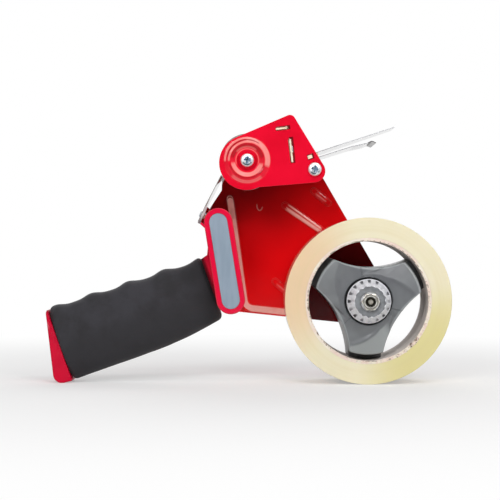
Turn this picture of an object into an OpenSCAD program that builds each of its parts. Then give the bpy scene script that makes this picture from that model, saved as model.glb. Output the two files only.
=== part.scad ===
// Hand-held dispenser for packing tape, standing on its roll and on the heel of its handle.
// +X points from the handle to the roll, +Y away from the open side, +Z up.
// The origin lies on the table, below the applicator roller's axle and mid-way through the depth.

/* [Tape roll] */
// Width of the tape
tape_w = 48; // [40:1:52]
// Outside diameter of the full roll
roll_d = 106; // [92:1:108]
// Bore of the cardboard core
core_bore = 76.2; // [72:0.2:80]
// Thickness of the cardboard core
core_wall = 2; // [1.4:0.2:4]

/* [Layout] */
// Gap between the tape's edge and each side plate
tape_gap = 2; // [1.8:0.1:4]
// Hub axle in front of the applicator roller's axle
hub_x = 77; // [75:1:84]
// Height of the hub axle above the table
hub_z = 53; // [50:1:58]
// Height of the applicator roller's axle above the table
roller_z = 142.2; // [138:0.2:148]
// Corner screw in front of the roller's axle
corner_x = 42.7; // [41:0.1:46]
// Corner screw below the roller's axle
corner_drop = 5.7; // [3:0.1:7]
// Apex of the head in front of the roller's axle
apex_x = 27; // [26:0.5:29]
// Centre of the apex rounding above the roller's axle
apex_rise = 25.2; // [24:0.2:28]

/* [Side frame] */
// Thickness of the steel sheet
sheet = 1.5; // [1:0.1:2]
// Rounding of the side plate round the hub axle
hub_corner_r = 17.3; // [14:0.1:20]
// Width of the near flange
flange_w = 18.2; // [16:0.2:20]
// Distance between the round ends of the near flange
flange_len = 49.7; // [44:0.5:54]
// Lower end of the near flange behind the roller's axle
flange_x = 10.4; // [8:0.1:12]
// Lower end of the near flange above the table
flange_z = 53.8; // [52:0.1:58]
// Backward lean of the web and the near flange
web_lean = 9.15; // [6:0.05:12]
// Width of the pressed beads
bead_w = 4.8; // [4:0.1:5.4]
// Height of the pressed beads
bead_h = 1.2; // [0.8:0.1:1.3]
// Step of the lip that carries the tape flap
lip_step = 3.6; // [2:0.1:4]
// Length of the lip along its slope
lip_len = 11.4; // [10:0.2:14]
// Forward lean of the lip
lip_lean = 25; // [18:0.5:28]
// Width of the grey panel in the near flange
panel_w = 11.4; // [9:0.2:12]
// Thickness of the grey panel
panel_t = 0.5; // [0.3:0.1:0.8]
// Height of the rim round the grey panel
rim_h = 0.8; // [0.4:0.1:1.2]

/* [Head plate] */
// Rounding of the head round the applicator roller
head_r = 17.3; // [16.8:0.1:18]
// Rounding of the apex
apex_r = 3.5; // [2.5:0.1:4.5]
// Rounding round the corner screw
corner_r = 7.2; // [6:0.1:8]
// Outside diameter of the raised ring round the roller's screw
ring_d = 30.4; // [28:0.2:32]
// Diameter of the flat seat inside the raised ring
ring_seat_d = 14.6; // [12:0.2:18]
// Height of the raised ring
ring_h = 1.5; // [1:0.1:2]

/* [Applicator roller] */
// Outside diameter of the rubber sleeve
roller_d = 34.2; // [32:0.2:36]
// Thickness of the rubber sleeve
sleeve_t = 3.1; // [2:0.1:4]
// Outside diameter of the axle tube and of the spacer
axle_d = 10; // [8:0.1:12]

/* [Hub] */
// Distance from the axle to the hub's waist between two arms
hub_waist = 21.4; // [19:0.2:24]
// Width of each arm's pad
arm_w = 19.8; // [16:0.2:24]
// Direction of the first arm, above the horizontal
arm_turn = 28; // [20:1:40]
// Length of the slope that leads the core on to the pads
lead_in = 4; // [2:0.2:5]
// Distance from the hub's front to the end of that slope
pad_depth = 18; // [8:0.5:22]
// Depth to which the arms are set back in front of the slope
pad_relief = 3.6; // [1:0.2:4]
// Height of the stops behind the core
stop_h = 3; // [2:0.2:4]
// Depth of the facet at each arm's end
facet_h = 2.4; // [1:0.2:3]
// Outside diameter of the hub's bush
bush_d = 10; // [9:0.1:12]

/* [Brake knob] */
// Diameter of the knob's base
knob_d = 28.2; // [26:0.2:30]
// Diameter of the knob's front
knob_front_d = 20.4; // [19:0.2:22]
// Length of the knob
knob_len = 13; // [12.5:0.1:15]
// Number of flutes round the knob
flutes = 16; // [12:1:20]
// Gap between the knob and the hub at rest
knob_gap = 2; // [1.8:0.1:3]
// Diameter of the brake washer
brake_d = 24; // [20:1:26]
// Wire of the brake spring
wire_d = 1.2; // [1:0.1:1.4]

/* [Fasteners] */
// Thread diameter of the spindle
spindle_d = 6; // [5:0.1:7]
// Width across the flats of the spindle's head and nuts
spindle_af = 10; // [9:0.1:11]
// Thread diameter of the two head screws
screw_d = 5; // [4:0.1:6]
// Diameter of the pan heads
pan_d = 8.7; // [8:0.1:10]
// Width across the flats of the screws' nuts
screw_af = 8; // [7.5:0.1:9]
// Shank diameter of the rivets
rivet_d = 3; // [2.4:0.1:3.6]
// Thickness of the washers
washer_t = 1; // [0.8:0.1:1.4]

/* [Blade and leaves] */
// Thickness of the blade and of its holder
blade_t = 1.2; // [0.8:0.1:1.4]
// Height of the blade with its teeth
blade_h = 28.3; // [26:0.1:28.6]
// Distance between two teeth
tooth_pitch = 2.1; // [1.6:0.1:4]
// Depth of the teeth
tooth_h = 2.4; // [1.5:0.1:3]
// Backward lean of the blade
blade_lean = 6.3; // [4:0.1:8]
// Upward slope of the two wiping leaves
leaf_slope = 18; // [14:0.5:22]
// Thickness of the spring leaves
leaf_t = 0.5; // [0.3:0.1:0.7]
// Length of the upper leaf from its bar
wiper_len = 60; // [50:1:64]
// Length of the lower leaf from its bar
helper_len = 43; // [38:1:46]
// Thickness of the tape flap
flap_t = 0.5; // [0.3:0.1:0.7]
// Length of the tape flap
flap_len = 33.4; // [30:0.2:33.6]

/* [Handle] */
// Length of the foam grip
grip_len = 104; // [98:0.5:105]
// Height of the foam grip at its middle
grip_h = 47.4; // [44:0.2:50]
// Thickness of the foam grip
grip_w = 30; // [28:0.5:34]
// Distance between two finger grooves
groove_pitch = 24.6; // [22:0.2:27]
// Half the depth of the finger grooves
groove_depth = 0.8; // [0.4:0.1:1.2]
// Thickness of the tongue inside the foam
tongue_w = 18; // [16:0.5:20]
// Height of the tongue inside the foam
tongue_h = 33; // [30:0.5:34]
// Width of the handle's end
end_w = 26; // [20:0.5:28]
// Width of the neck where it meets the web
neck_w = 40; // [34:1:44]

/* [Clearances] */
// Radial clearance where a piece turns on a shaft
run_fit = 0.05; // [0.02:0.01:0.08]
// Clearance where a piece slips over another
slip_fit = 0.15; // [0.1:0.01:0.2]
// Clearance round soft pieces and between plates and what stands between them
soft_fit = 0.3; // [0.2:0.05:0.4]

/* [Hidden] */
$fn = 64;

// Depths, measured from the middle of the tape
half = tape_w / 2 + tape_gap;
near_out = -half - sheet;
far_out = half + sheet;
tape_end = tape_w / 2;
between = half - soft_fit;

// Brake knob along the spindle, from the hub towards the open side
knob_base = tape_end + knob_gap;
knob_front = knob_base + knob_len;
nut_t = 5;
nut_sink = 2;
knob_wall = 2.5;
nut_back = knob_front - nut_sink;
seat_back = nut_back - knob_wall - run_fit;
spindle_tip = nut_back + nut_t + 0.5;
hex_head_t = 4;
screw_nut_t = 4;
screw_over = 1;
far_end = far_out + washer_t + screw_nut_t + screw_over;
mid_y = (spindle_tip - far_end) / 2;

// Head outline
roller_at = [0, roller_z];
corner_at = [corner_x, roller_z - corner_drop];
apex_at = [apex_x, roller_z + apex_rise];
hub_at = [hub_x, hub_z];
head_mid = [-0.5, roller_z - 1.6];
head_step = 1.2;
hub_screw_hole = spindle_d + 2 * slip_fit;
screw_hole = screw_d + 2 * slip_fit;

// Near flange and web
flange_r = flange_w / 2;
rim_in = 0.4;
sheet_in = 0.2;
strip_ease = 0.98;
web_in = -flange_r + sheet;
web_top = flange_len - 1.5;
lip_foot = [-flange_r - lip_step, web_top + lip_step];

// Beads of the side plate: two steps towards the tape, a groove behind, and the lines they follow
bead_ease = 0.06;
bead_steps = [[bead_w, 0.55 * bead_h], [0.66 * bead_w, bead_h]];
bead_back = bead_w - 2 * sheet;
beads = [
    [web_pt(9.2, 65), web_pt(7.9, -8.2), hub_at - [43.2, 9.8]],
    [roller_at + [25, -27], roller_at + [50, -44.4]],
    [hub_at - [58.5, -11.4], hub_at - [44.2, -0.6]],
    [roller_at + [44.5, -17.5], roller_at + [54, -25.4]]];

// Blade, its holder and the bar of the leaves
blade_foot = [corner_x - 14.1, roller_z - 1.2];
blade_tab_h = 14.6;
holder_arm = 7.4;
holder_z = 21.9;
holder_low = 4;
bar_at = [corner_x - 3, corner_at.y + 7.8];
bar_t = 2.6;
bar_back = 4;
bar_front = 5.5;
tab_out = 0.6;
wiper_w = tape_w - 2;
wiper_tip_w = 26;
helper_w = tape_w - 4;
flap_w = tape_w - 4;

// Handle
// The grip's front end keeps its place at the web; the slope then sets the heel down on the table
grip_end = grip_len / 2 - 1;
grip_start = -grip_len / 2 - 1;
grip_front = [-flange_x - 11.6, flange_z + 4.4];
heel_r = 5.6;
end_r = 3.9;
heel_u = grip_start - 5.1;
heel_v = -grip_h / 2 + 6.9;
grip_slope = asin((grip_front.y - heel_r) / norm([grip_end - heel_u, heel_v]))
    + atan2(heel_v, grip_end - heel_u);
grip_at = grip_front - grip_end * [cos(grip_slope), sin(grip_slope)];

// Points of the near flange's own frame and of the handle's own frame, as [x, z] of the part
function web_pt(x, z) = [
    -flange_x + x * cos(web_lean) - z * sin(web_lean),
    flange_z + x * sin(web_lean) + z * cos(web_lean)];
function grip_pt(u, v) = [
    grip_at.x + u * cos(grip_slope) - v * sin(grip_slope),
    grip_at.y + u * sin(grip_slope) + v * cos(grip_slope)];

// Corners of the straight sides that touch a ring of circles, each given as [x, z, radius]
function belt(c) = [
    for (i = [0 : len(c) - 1])
        let (
            a = c[i],
            b = c[(i + 1) % len(c)],
            d = [b.x - a.x, b.y - a.y],
            turn = atan2(d.y, d.x) - acos((a[2] - b[2]) / norm(d)))
        each [
            [a.x + a[2] * cos(turn), a.y + a[2] * sin(turn)],
            [b.x + b[2] * cos(turn), b.y + b[2] * sin(turn)]]];

// Power that keeps its sign, for the rounded-square sections of the grip
function signed_pow(v, p) = sign(v) * pow(abs(v), p);

// Slab over a flat outline in x and z, from depth a to depth b
module across(a, b) {
    translate([0, mid_y + b, 0])
        rotate([90, 0, 0])
            linear_extrude(b - a)
                children();
}

// Round bar through the depth
module pin(at, d, a, b) {
    translate([at.x, mid_y + b, at.y])
        rotate([90, 0, 0])
            cylinder(d = d, h = b - a);
}

// Hexagonal bar through the depth, with its corners to the left and right
module hex(at, flats, a, b) {
    translate([at.x, mid_y + b, at.y])
        rotate([90, 0, 0])
            cylinder(d = flats / cos(30), h = b - a, $fn = 6);
}

// Body turned about an axle through the depth; the profile is [radius, distance to the open side]
module turned(at) {
    translate([at.x, mid_y, at.y])
        rotate([90, 0, 0])
            rotate_extrude()
                children();
}

// Outline of a plate with rounded corners, from the circles that round them
module rounded(c) {
    polygon(belt(c));
    for (p = c)
        translate([p.x, p.y])
            circle(r = p[2]);
}

// Strip of sheet seen on edge, along a list of points
module strip(points, t) {
    for (i = [0 : len(points) - 2]) {
        a = points[i];
        d = points[i + 1] - a;
        translate(a)
            rotate(atan2(d.y, d.x))
                translate([0, -t / 2])
                    square([norm(d), t]);
    }
    if (len(points) > 2)
        for (i = [1 : len(points) - 2])
            translate(points[i])
                circle(d = t * strip_ease, $fn = 24);
}

// Slot with round ends
module slot(at, length, width, turn) {
    translate(at)
        rotate(turn) {
            square([length - width, width], center = true);
            for (side = [-1, 1])
                translate([side * (length - width) / 2, 0])
                    circle(d = width, $fn = 24);
        }
}

// Closed skin over a row of rings that all have the same number of points
module loft(rings) {
    n = len(rings[0]);
    last = len(rings) - 1;
    polyhedron(
        points = [for (ring = rings) each ring],
        faces = concat(
            [[for (k = [n - 1 : -1 : 0]) k]],
            [for (i = [0 : last - 1], k = [0 : n - 1])
                [i * n + k, i * n + (k + 1) % n, (i + 1) * n + (k + 1) % n, (i + 1) * n + k]],
            [[for (k = [0 : n - 1]) last * n + k]]));
}

// Frames of the sloping pieces: local x along the slope or out of the sheet, local z across it
module on_web() {
    translate([-flange_x, mid_y, flange_z])
        rotate([0, -web_lean, 0])
            children();
}
module on_lip() {
    foot = web_pt(lip_foot.x, lip_foot.y);
    translate([foot.x, mid_y, foot.y])
        rotate([0, lip_lean, 0])
            children();
}
module on_blade() {
    translate([blade_foot.x, mid_y, blade_foot.y])
        rotate([0, -blade_lean, 0])
            children();
}
module on_leaf() {
    translate([bar_at.x, mid_y, bar_at.y])
        rotate([0, -leaf_slope, 0])
            children();
}
module on_grip() {
    translate([grip_at.x, mid_y, grip_at.y])
        rotate([0, -grip_slope, 0])
            children();
}

// Slab across the depth inside one of the frames above
module wide(width) {
    translate([0, width / 2, 0])
        rotate([90, 0, 0])
            linear_extrude(width)
                children();
}

// Countersunk-free rivet along local x, with a domed head at each end of its shank
module rivet(grip) {
    head = rivet_d * 0.35;
    rotate([0, 90, 0]) {
        cylinder(d = rivet_d, h = grip, $fn = 32);
        for (end = [0, 1])
            translate([0, 0, end * grip])
                mirror([0, 0, 1 - end])
                    cylinder(d1 = rivet_d * 1.8, d2 = rivet_d * 1.1, h = head, $fn = 32);
    }
}

// Outline of the head, shared by the near head plate and the side frame
module head_outline() {
    rounded([
        [head_mid.x, head_mid.y, head_r - head_step],
        [corner_at.x - 0.5, corner_at.y - 1.2, corner_r],
        [apex_at.x, apex_at.y, apex_r]]);
    rounded([
        [head_mid.x, head_mid.y, head_r],
        [apex_at.x, apex_at.y, apex_r]]);
}

// Holes that both head plates share: two screws and three tabs
module head_holes() {
    for (at = [roller_at, corner_at])
        translate(at)
            circle(d = screw_hole);
    tab = blade_tab_h / 2;
    slot(blade_foot + tab * [-sin(blade_lean), cos(blade_lean)],
        blade_tab_h + 0.8, blade_t + 1.2, 90 + blade_lean);
    arm = holder_arm / 2 + blade_t / 2;
    slot(blade_foot + [
            -arm * cos(blade_lean) - holder_z * sin(blade_lean),
            -arm * sin(blade_lean) + holder_z * cos(blade_lean)],
        holder_arm + 0.6, blade_t + 1, blade_lean);
    slot(bar_at, 3.4, bar_t, leaf_slope);
}

// Round-ended line along a chain of points, for the beads pressed into the side plate
module bead_line(points, width) {
    for (i = [0 : len(points) - 2]) {
        d = points[i + 1] - points[i];
        translate(points[i])
            rotate(atan2(d.y, d.x))
                translate([0, -width / 2])
                    square([norm(d), width]);
    }
    for (p = points)
        translate(p)
            circle(d = width - bead_ease, $fn = 32);
}
// One pressing: side plate with beads, web with its lip, and near flange with its rim
module side_frame() {
    color("#c00814")
    difference() {
        union() {
            across(half, far_out) {
                head_outline();
                rounded([
                    [hub_at.x, hub_at.y, hub_corner_r],
                    [corner_at.x - 0.5, corner_at.y - 1.2, corner_r - 1],
                    [head_mid.x, head_mid.y, head_r - head_step],
                    [-flange_x, flange_z, flange_r]]);
                polygon([
                    web_pt(0, 0),
                    web_pt(7, 74),
                    web_pt(-3.7, 62.4),
                    web_pt(lip_foot.x, lip_foot.y),
                    web_pt(-flange_r, web_top),
                    web_pt(-flange_r, 0)]);
            }
            on_web() {
                translate([-flange_r, near_out + sheet_in, -2])
                    cube([sheet, far_out - near_out - sheet_in, web_top + 2]);
                translate([0, sheet_in / 2, 0])
                    wide(far_out - near_out - sheet_in)
                        strip([
                                [-flange_r + sheet / 2, web_top - 0.5],
                                [lip_foot.x + sheet * 0.6, lip_foot.y + 0.2]],
                            sheet);
            }
            on_lip()
                translate([0, near_out + sheet_in, -0.4])
                    cube([sheet, far_out - near_out - sheet_in, lip_len + 0.4]);
            across(near_out, -half)
                near_flange(flange_r);
            across(near_out - rim_h, near_out)
                difference() {
                    near_flange(flange_r - rim_in);
                    near_flange(panel_w / 2 + slip_fit);
                }
            for (level = bead_steps)
                across(half - level[1], half + 0.5)
                    for (path = beads)
                        bead_line(path, level[0]);
        }
        across(far_out - 0.75 * bead_h, far_out + 1)
            for (path = beads)
                bead_line(path, bead_back);
        across(half - 1, far_out + 1) {
            head_holes();
            translate(hub_at)
                circle(d = hub_screw_hole);
        }
        on_web()
            for (at = handle_screw_at)
                translate([-flange_r - 1, at.x, at.y])
                    rotate([0, 90, 0])
                        cylinder(d = handle_screw_d + 2 * slip_fit, h = sheet + 2, $fn = 32);
        on_lip()
            for (side = [-1, 1])
                translate([-1, side * flap_w / 3, lip_len / 2])
                    rotate([0, 90, 0])
                        cylinder(d = rivet_d, h = sheet + 2, $fn = 32);
    }
}

// Round-ended outline of the near flange, with the given end radius
module near_flange(r) {
    low = web_pt(0, 0);
    high = web_pt(0, flange_len);
    rounded([
        [low.x, low.y, r],
        [high.x, high.y, r]]);
}

// Blank grey panel, set flush in the rim of the near flange
module flange_panel() {
    color("#8798a8")
    across(near_out - panel_t, near_out)
        near_flange(panel_w / 2);
}

// Near head plate, with a ring raised round the roller's screw
module head_plate() {
    steps = 12;
    low = ring_seat_d / 2;
    high = ring_d / 2;
    function ring_r(k) = low + (high - low) * k / steps;
    function lift(k) = ring_h * pow(sin(180 * k / steps), 2);
    color("#e4082c") {
        across(near_out, -half)
            difference() {
                head_outline();
                translate(roller_at)
                    circle(d = ring_d);
                head_holes();
            }
        turned(roller_at)
            polygon(concat(
                [[screw_hole / 2, half]],
                [for (k = [0 : steps]) [ring_r(k), half + lift(k)]],
                [for (k = [steps : -1 : 0]) [ring_r(k), half + sheet + lift(k)]],
                [[screw_hole / 2, half + sheet]]));
    }
}

// Red core of the handle: flange on the web, tongue inside the foam, and the flared end
handle_screw_d = 4;
handle_screw_len = 14;
handle_screw_at = [for (side = [-1, 1], z = [6, 17]) [side * 5, z]];
heel = grip_pt(heel_u, heel_v);
end_top = grip_pt(grip_start + 2, grip_h / 2 - 1.7);
end_deep = 12;
end_discs = [
    [heel.x, heel.y, heel_r],
    [heel.x + end_deep, heel.y + end_deep / 4, heel_r],
    [end_top.x + end_deep / 2, end_top.y, end_r],
    [end_top.x, end_top.y, end_r]];

module handle_core() {
    cut = 1.3 * grip_h;
    web_face = -flange_r - 0.6;
    color("#ce062f")
    difference() {
        union() {
            across(-end_w / 2, end_w / 2)
                difference() {
                    rounded(end_discs);
                    polygon([
                        grip_pt(grip_start - soft_fit, -cut),
                        grip_pt(grip_end, -cut),
                        grip_pt(grip_end, cut),
                        grip_pt(grip_start - soft_fit, cut)]);
                }
            across(-tongue_w / 2, tongue_w / 2)
                polygon([
                    grip_pt(grip_start - 3, -tongue_h / 2),
                    grip_pt(grip_end - 1, -tongue_h / 2),
                    web_pt(web_face, 6),
                    web_pt(web_face, 20),
                    grip_pt(grip_end + 1.5, tongue_h / 2),
                    grip_pt(grip_start - 3, tongue_h / 2)]);
            across(-neck_w / 2, neck_w / 2)
                polygon([
                    web_pt(-flange_r, 36),
                    web_pt(-flange_r - 0.5, 34),
                    web_pt(-flange_r - 1.4, 30.5),
                    grip_pt(grip_end + soft_fit, grip_h / 2 - 1),
                    grip_pt(grip_end + soft_fit, -5),
                    web_pt(-flange_r, 1.6)]);
        }
        on_web()
            for (at = handle_screw_at)
                translate([-flange_r - handle_screw_len, at.x, at.y])
                    rotate([0, 90, 0])
                        cylinder(d = handle_screw_d, h = handle_screw_len + 8, $fn = 32);
    }
}

// Four screws from inside the web into the handle's core
module handle_screws() {
    color("silver")
    on_web()
        for (at = handle_screw_at)
            translate([0, at.x, at.y])
                rotate([0, 90, 0]) {
                    translate([0, 0, -flange_r - handle_screw_len])
                        cylinder(d = handle_screw_d, h = handle_screw_len + sheet, $fn = 32);
                    translate([0, 0, web_in])
                        cylinder(d1 = 7.6, d2 = 5, h = 2.2, $fn = 32);
                }
}

// Foam sleeve over the tongue, with four finger grooves along its upper side
module foam_grip() {
    function upper(u) = grip_h / 2 + 0.5 - 0.028 * u
        + groove_depth * cos(360 * (u - 25) / groove_pitch);
    function lower(u) = -grip_h / 2 + 0.5 + 0.002 * pow(max(0, u), 2);
    function inset(u) = let (far = max(0, abs(u + 1) - (grip_len / 2 - 2.5)))
        2.5 - sqrt(max(0, 6.25 - far * far));
    function grip_ring(u) = [
        for (k = [0 : sides - 1])
            let (
                a = k * 360 / sides,
                mid = (upper(u) + lower(u)) / 2,
                rise = (upper(u) - lower(u)) / 2 - inset(u))
            [u, (grip_w / 2 - inset(u)) * signed_pow(cos(a), 0.78), mid + rise * signed_pow(sin(a), 0.78)]];
    sides = 28;
    stations = 23;
    ends = [0, 0.9, 2.5];
    along = concat(
        [for (e = ends) grip_start + e],
        [for (k = [1 : stations - 1]) grip_start + 2.5 + (grip_len - 5) * k / stations],
        [for (k = [2 : -1 : 0]) grip_end - ends[k]]);
    color("#3b3b3d")
    on_grip()
        difference() {
            loft([for (u = along) grip_ring(u)]);
            translate([grip_start - 1, -tongue_w / 2 - soft_fit, -tongue_h / 2 - soft_fit])
                cube([grip_len + 2, tongue_w + 2 * soft_fit, tongue_h + 2 * soft_fit]);
        }
}

// Steel tube between the plates that the roller turns on
module roller_axle() {
    color("silver")
    difference() {
        pin(roller_at, axle_d, -half, half);
        pin(roller_at, screw_hole, -half - 1, half + 1);
    }
}

// Steel tube that holds the plates apart at the corner screw
module corner_spacer() {
    color("silver")
    difference() {
        pin(corner_at, axle_d, -half, half);
        pin(corner_at, screw_hole, -half - 1, half + 1);
    }
}

// Two pan-head machine screws, through the roller's axle and through the spacer
module head_screws() {
    head_h = 2.8;
    color("gainsboro")
    for (at = [roller_at, corner_at])
        difference() {
            union() {
                pin(at, screw_d, near_out - 1, far_end);
                turned(at)
                    polygon(concat(
                        [[0, -near_out]],
                        [for (a = [0 : 15 : 90])
                            [pan_d / 2 * pow(cos(a), 0.5), -near_out + 0.9 + (head_h - 0.9) * sin(a)]]));
            }
            for (turn = [10, 100])
                translate([at.x, mid_y + near_out - head_h, at.y])
                    rotate([0, turn, 0])
                        cube([4.6, 2.6, 1], center = true);
        }
}

// Plain washers under the two nuts
module head_washers() {
    color("silver")
    for (at = [roller_at, corner_at])
        difference() {
            pin(at, screw_af * 1.25, far_out, far_out + washer_t);
            pin(at, screw_hole, far_out - 1, far_out + washer_t + 1);
        }
}

// Nuts of the two head screws
module head_nuts() {
    back = far_out + washer_t;
    color("silver")
    for (at = [roller_at, corner_at])
        difference() {
            hex(at, screw_af, back, back + screw_nut_t);
            pin(at, screw_d, back - 1, back + screw_nut_t + 1);
        }
}

// Hard core of the applicator roller, bored at both ends for the axle
module roller_core() {
    core_r = roller_d / 2 - sleeve_t;
    bore_r = axle_d / 2 + run_fit;
    boss_r = bore_r + 3;
    end = between;
    face = end - 0.7;
    color("#55585a")
    turned(roller_at)
        polygon([
            [bore_r, -end], [boss_r, -end], [boss_r, -face], [core_r, -face],
            [core_r, face], [boss_r, face], [boss_r, end], [bore_r, end],
            [bore_r, end - 9], [boss_r, end - 12], [boss_r, 12 - end], [bore_r, 9 - end]]);
}

// Rubber sleeve of the applicator roller
module roller_sleeve() {
    out_r = roller_d / 2;
    in_r = out_r - sleeve_t;
    end = between - 0.7;
    color("#8b908c")
    turned(roller_at)
        polygon([
            [in_r, -end], [out_r - 0.6, -end], [out_r, 0.6 - end],
            [out_r, end - 0.6], [out_r - 0.6, end], [in_r, end]]);
}

// Hexagon-head spindle of the hub
module spindle() {
    color("silver") {
        hex(hub_at, spindle_af, far_out, far_out + hex_head_t);
        turned(hub_at)
            polygon([
                [0, -far_out - 1], [spindle_d / 2, -far_out - 1], [spindle_d / 2, spindle_tip - 0.8],
                [spindle_d / 2 - 0.8, spindle_tip], [0, spindle_tip]]);
    }
}

// Washer between the side plate and the spindle's inner nut
module spindle_washer() {
    color("silver")
    difference() {
        pin(hub_at, spindle_af * 1.25, half - washer_t, half);
        pin(hub_at, spindle_d + 2 * slip_fit, half - washer_t - 1, half + 1);
    }
}

// Nut that clamps the spindle to the side plate
module spindle_nut() {
    color("silver")
    difference() {
        hex(hub_at, spindle_af, half - washer_t - nut_t, half - washer_t);
        pin(hub_at, spindle_d, half - washer_t - nut_t - 1, half);
    }
}

// Three-armed hub that carries the core
hub_r = core_bore / 2 - slip_fit;
stop_r = core_bore / 2 + stop_h;
hub_back = tape_end + 1.4;
well = half - washer_t - nut_t - soft_fit;
module hub() {
    half_arm = asin(arm_w / 2 / hub_r);
    open = 60 - half_arm;
    scoop = (hub_r * hub_r - hub_waist * hub_waist) / (2 * (hub_r * cos(open) - hub_waist));
    well_r = spindle_af / 2 / cos(30) + 2;
    color("#6d7071")
    difference() {
        intersection() {
            across(-tape_end, hub_back)
                translate(hub_at)
                    difference() {
                        circle(r = stop_r);
                        for (i = [0 : 2])
                            rotate(arm_turn + 60 + 120 * i)
                                translate([scoop, 0])
                                    circle(r = scoop - hub_waist, $fn = 128);
                    }
            turned(hub_at)
                polygon([
                    [0, -hub_back], [stop_r, -hub_back], [stop_r, -tape_end - slip_fit],
                    [hub_r, -tape_end - slip_fit], [hub_r, tape_end - pad_depth],
                    [hub_r - pad_relief, tape_end - pad_depth + lead_in],
                    [hub_r - pad_relief, tape_end], [0, tape_end]]);
        }
        pin(hub_at, bush_d, -tape_end - 1, hub_back + 1);
        pin(hub_at, 2 * well_r, well, hub_back + 1);
        for (i = [0 : 2])
            translate([hub_at.x, mid_y - tape_end, hub_at.y])
                rotate([0, -(arm_turn + 120 * i), 0])
                    difference() {
                        translate([knob_d / 2, 0, 0])
                            rotate([0, 0, -facet_h * 3])
                                translate([-10, -20, -40])
                                    cube([60, 20, 80]);
                        translate([-1, 0, 8])
                            rotate([90, 0, 0])
                                cylinder(r = hub_waist + 8, h = 60, center = true);
                    }
    }
}

// Plain bush pressed into the hub
module hub_bush() {
    color("#d8d2c0")
    difference() {
        pin(hub_at, bush_d, -tape_end, well);
        pin(hub_at, spindle_d + 2 * run_fit, -tape_end - 1, well + 1);
    }
}

// Cardboard core of the roll
module tape_core() {
    color("#d9c7b0")
    difference() {
        pin(hub_at, core_bore + 2 * core_wall, -tape_end, tape_end);
        pin(hub_at, core_bore, -tape_end - 1, tape_end + 1);
    }
}

// Wound tape
module tape_winding() {
    color("#e9e1bd")
    difference() {
        pin(hub_at, roll_d, -tape_end, tape_end);
        pin(hub_at, core_bore + 2 * core_wall, -tape_end - 1, tape_end + 1);
    }
}

// Washer that the spring presses against the hub
module brake_washer() {
    color("silver")
    difference() {
        pin(hub_at, brake_d, -tape_end - run_fit - washer_t, -tape_end - run_fit);
        pin(hub_at, spindle_d + 2 * slip_fit, -tape_end - 4, -tape_end + 1);
    }
}

// Seat on the outer end of the spring, on which the knob turns
seat_d = 16;
module spring_seat() {
    color("silver")
    difference() {
        pin(hub_at, seat_d, -seat_back, washer_t - seat_back);
        pin(hub_at, spindle_d + 2 * run_fit, -seat_back - 1, washer_t - seat_back + 1);
    }
}

// Compression spring round the spindle
module brake_spring() {
    low = tape_end + run_fit + washer_t + wire_d / 2 + 0.1;
    high = seat_back - washer_t - wire_d / 2 - 0.1;
    turns = 4;
    steps = 16 * turns;
    coil_r = spindle_d / 2 + 3;
    color("lightgray")
    translate([hub_at.x, mid_y, hub_at.y])
        rotate([90, 0, 0])
            loft([
                for (i = [0 : steps])
                    let (a = 360 * turns * i / steps, z = low + (high - low) * i / steps)
                    [for (k = [7 : -1 : 0])
                        let (b = 45 * k, r = coil_r + wire_d / 2 * cos(b))
                        [r * cos(a), r * sin(a), z + wire_d / 2 * sin(b)]]]);
}

// Fluted knob that screws along the spindle with its captive nut
module tension_knob() {
    base_r = knob_d / 2;
    front_r = knob_front_d / 2;
    flute_r = 0.9;
    slope = atan2(base_r - front_r, knob_len - 2);
    color("#c9c9cd")
    difference() {
        turned(hub_at)
            polygon([
                [0, knob_base], [base_r - 0.6, knob_base], [base_r, knob_base + 0.6],
                [base_r, knob_base + 2], [front_r, knob_front - 0.5],
                [front_r - 0.6, knob_front], [0, knob_front]]);
        for (i = [0 : flutes - 1])
            translate([hub_at.x, mid_y - knob_base - 2, hub_at.y])
                rotate([0, 360 * (i + 0.5) / flutes, 0])
                    translate([base_r + flute_r / 2, 0, 0])
                        rotate([0, 0, -slope])
                            rotate([90, 0, 0])
                                cylinder(r = flute_r, h = 40, center = true, $fn = 24);
        pin(hub_at, brake_d + 1.2, -knob_base - 2, -knob_base + 1);
        pin(hub_at, seat_d + 1.5, -nut_back + knob_wall, -knob_base + 1);
        pin(hub_at, spindle_d + 1, -knob_front - 1, -knob_base);
        hex(hub_at, spindle_af, -knob_front - 1, -nut_back);
    }
}

// Nut held in the front of the knob
module knob_nut() {
    color("gainsboro")
    difference() {
        intersection() {
            hex(hub_at, spindle_af, -nut_back - nut_t, -nut_back);
            turned(hub_at)
                polygon([
                    [0, nut_back], [spindle_af, nut_back], [spindle_af, nut_back + nut_t - 2.9],
                    [spindle_af / 2 - 0.1, nut_back + nut_t], [0, nut_back + nut_t]]);
        }
        pin(hub_at, spindle_d + 2 * run_fit, -nut_back - nut_t - 1, -nut_back + 1);
    }
}

// Toothed blade across the head, held by its tabs in both plates
module cutting_blade() {
    count = floor(2 * (between - 1) / tooth_pitch);
    left = -count * tooth_pitch / 2;
    color("gainsboro")
    on_blade()
        difference() {
            translate([-blade_t / 2, 0, 0])
                rotate([90, 0, 90])
                    linear_extrude(blade_t) {
                        polygon(concat(
                            [[-between, 0], [between, 0], [between, blade_h - tooth_h]],
                            [for (k = [count : -1 : 0]) each [
                                [left + k * tooth_pitch, blade_h - tooth_h],
                                [left + (k - 0.5) * tooth_pitch, k > 0 ? blade_h : blade_h - tooth_h]]],
                            [[-between, blade_h - tooth_h]]));
                        translate([near_out - tab_out, 0])
                            square([far_out - near_out + 2 * tab_out, blade_tab_h]);
                    }
            rivet_holes(blade_rivet_z);
        }
}

// Holes for the rivets of the blade, through both sheets
blade_rivet_z = 9;
module rivet_holes(z) {
    for (side = [-1, 1])
        translate([-10, side * tape_end * 0.6, z])
            rotate([0, 90, 0])
                cylinder(d = rivet_d, h = 20, $fn = 32);
}

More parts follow.
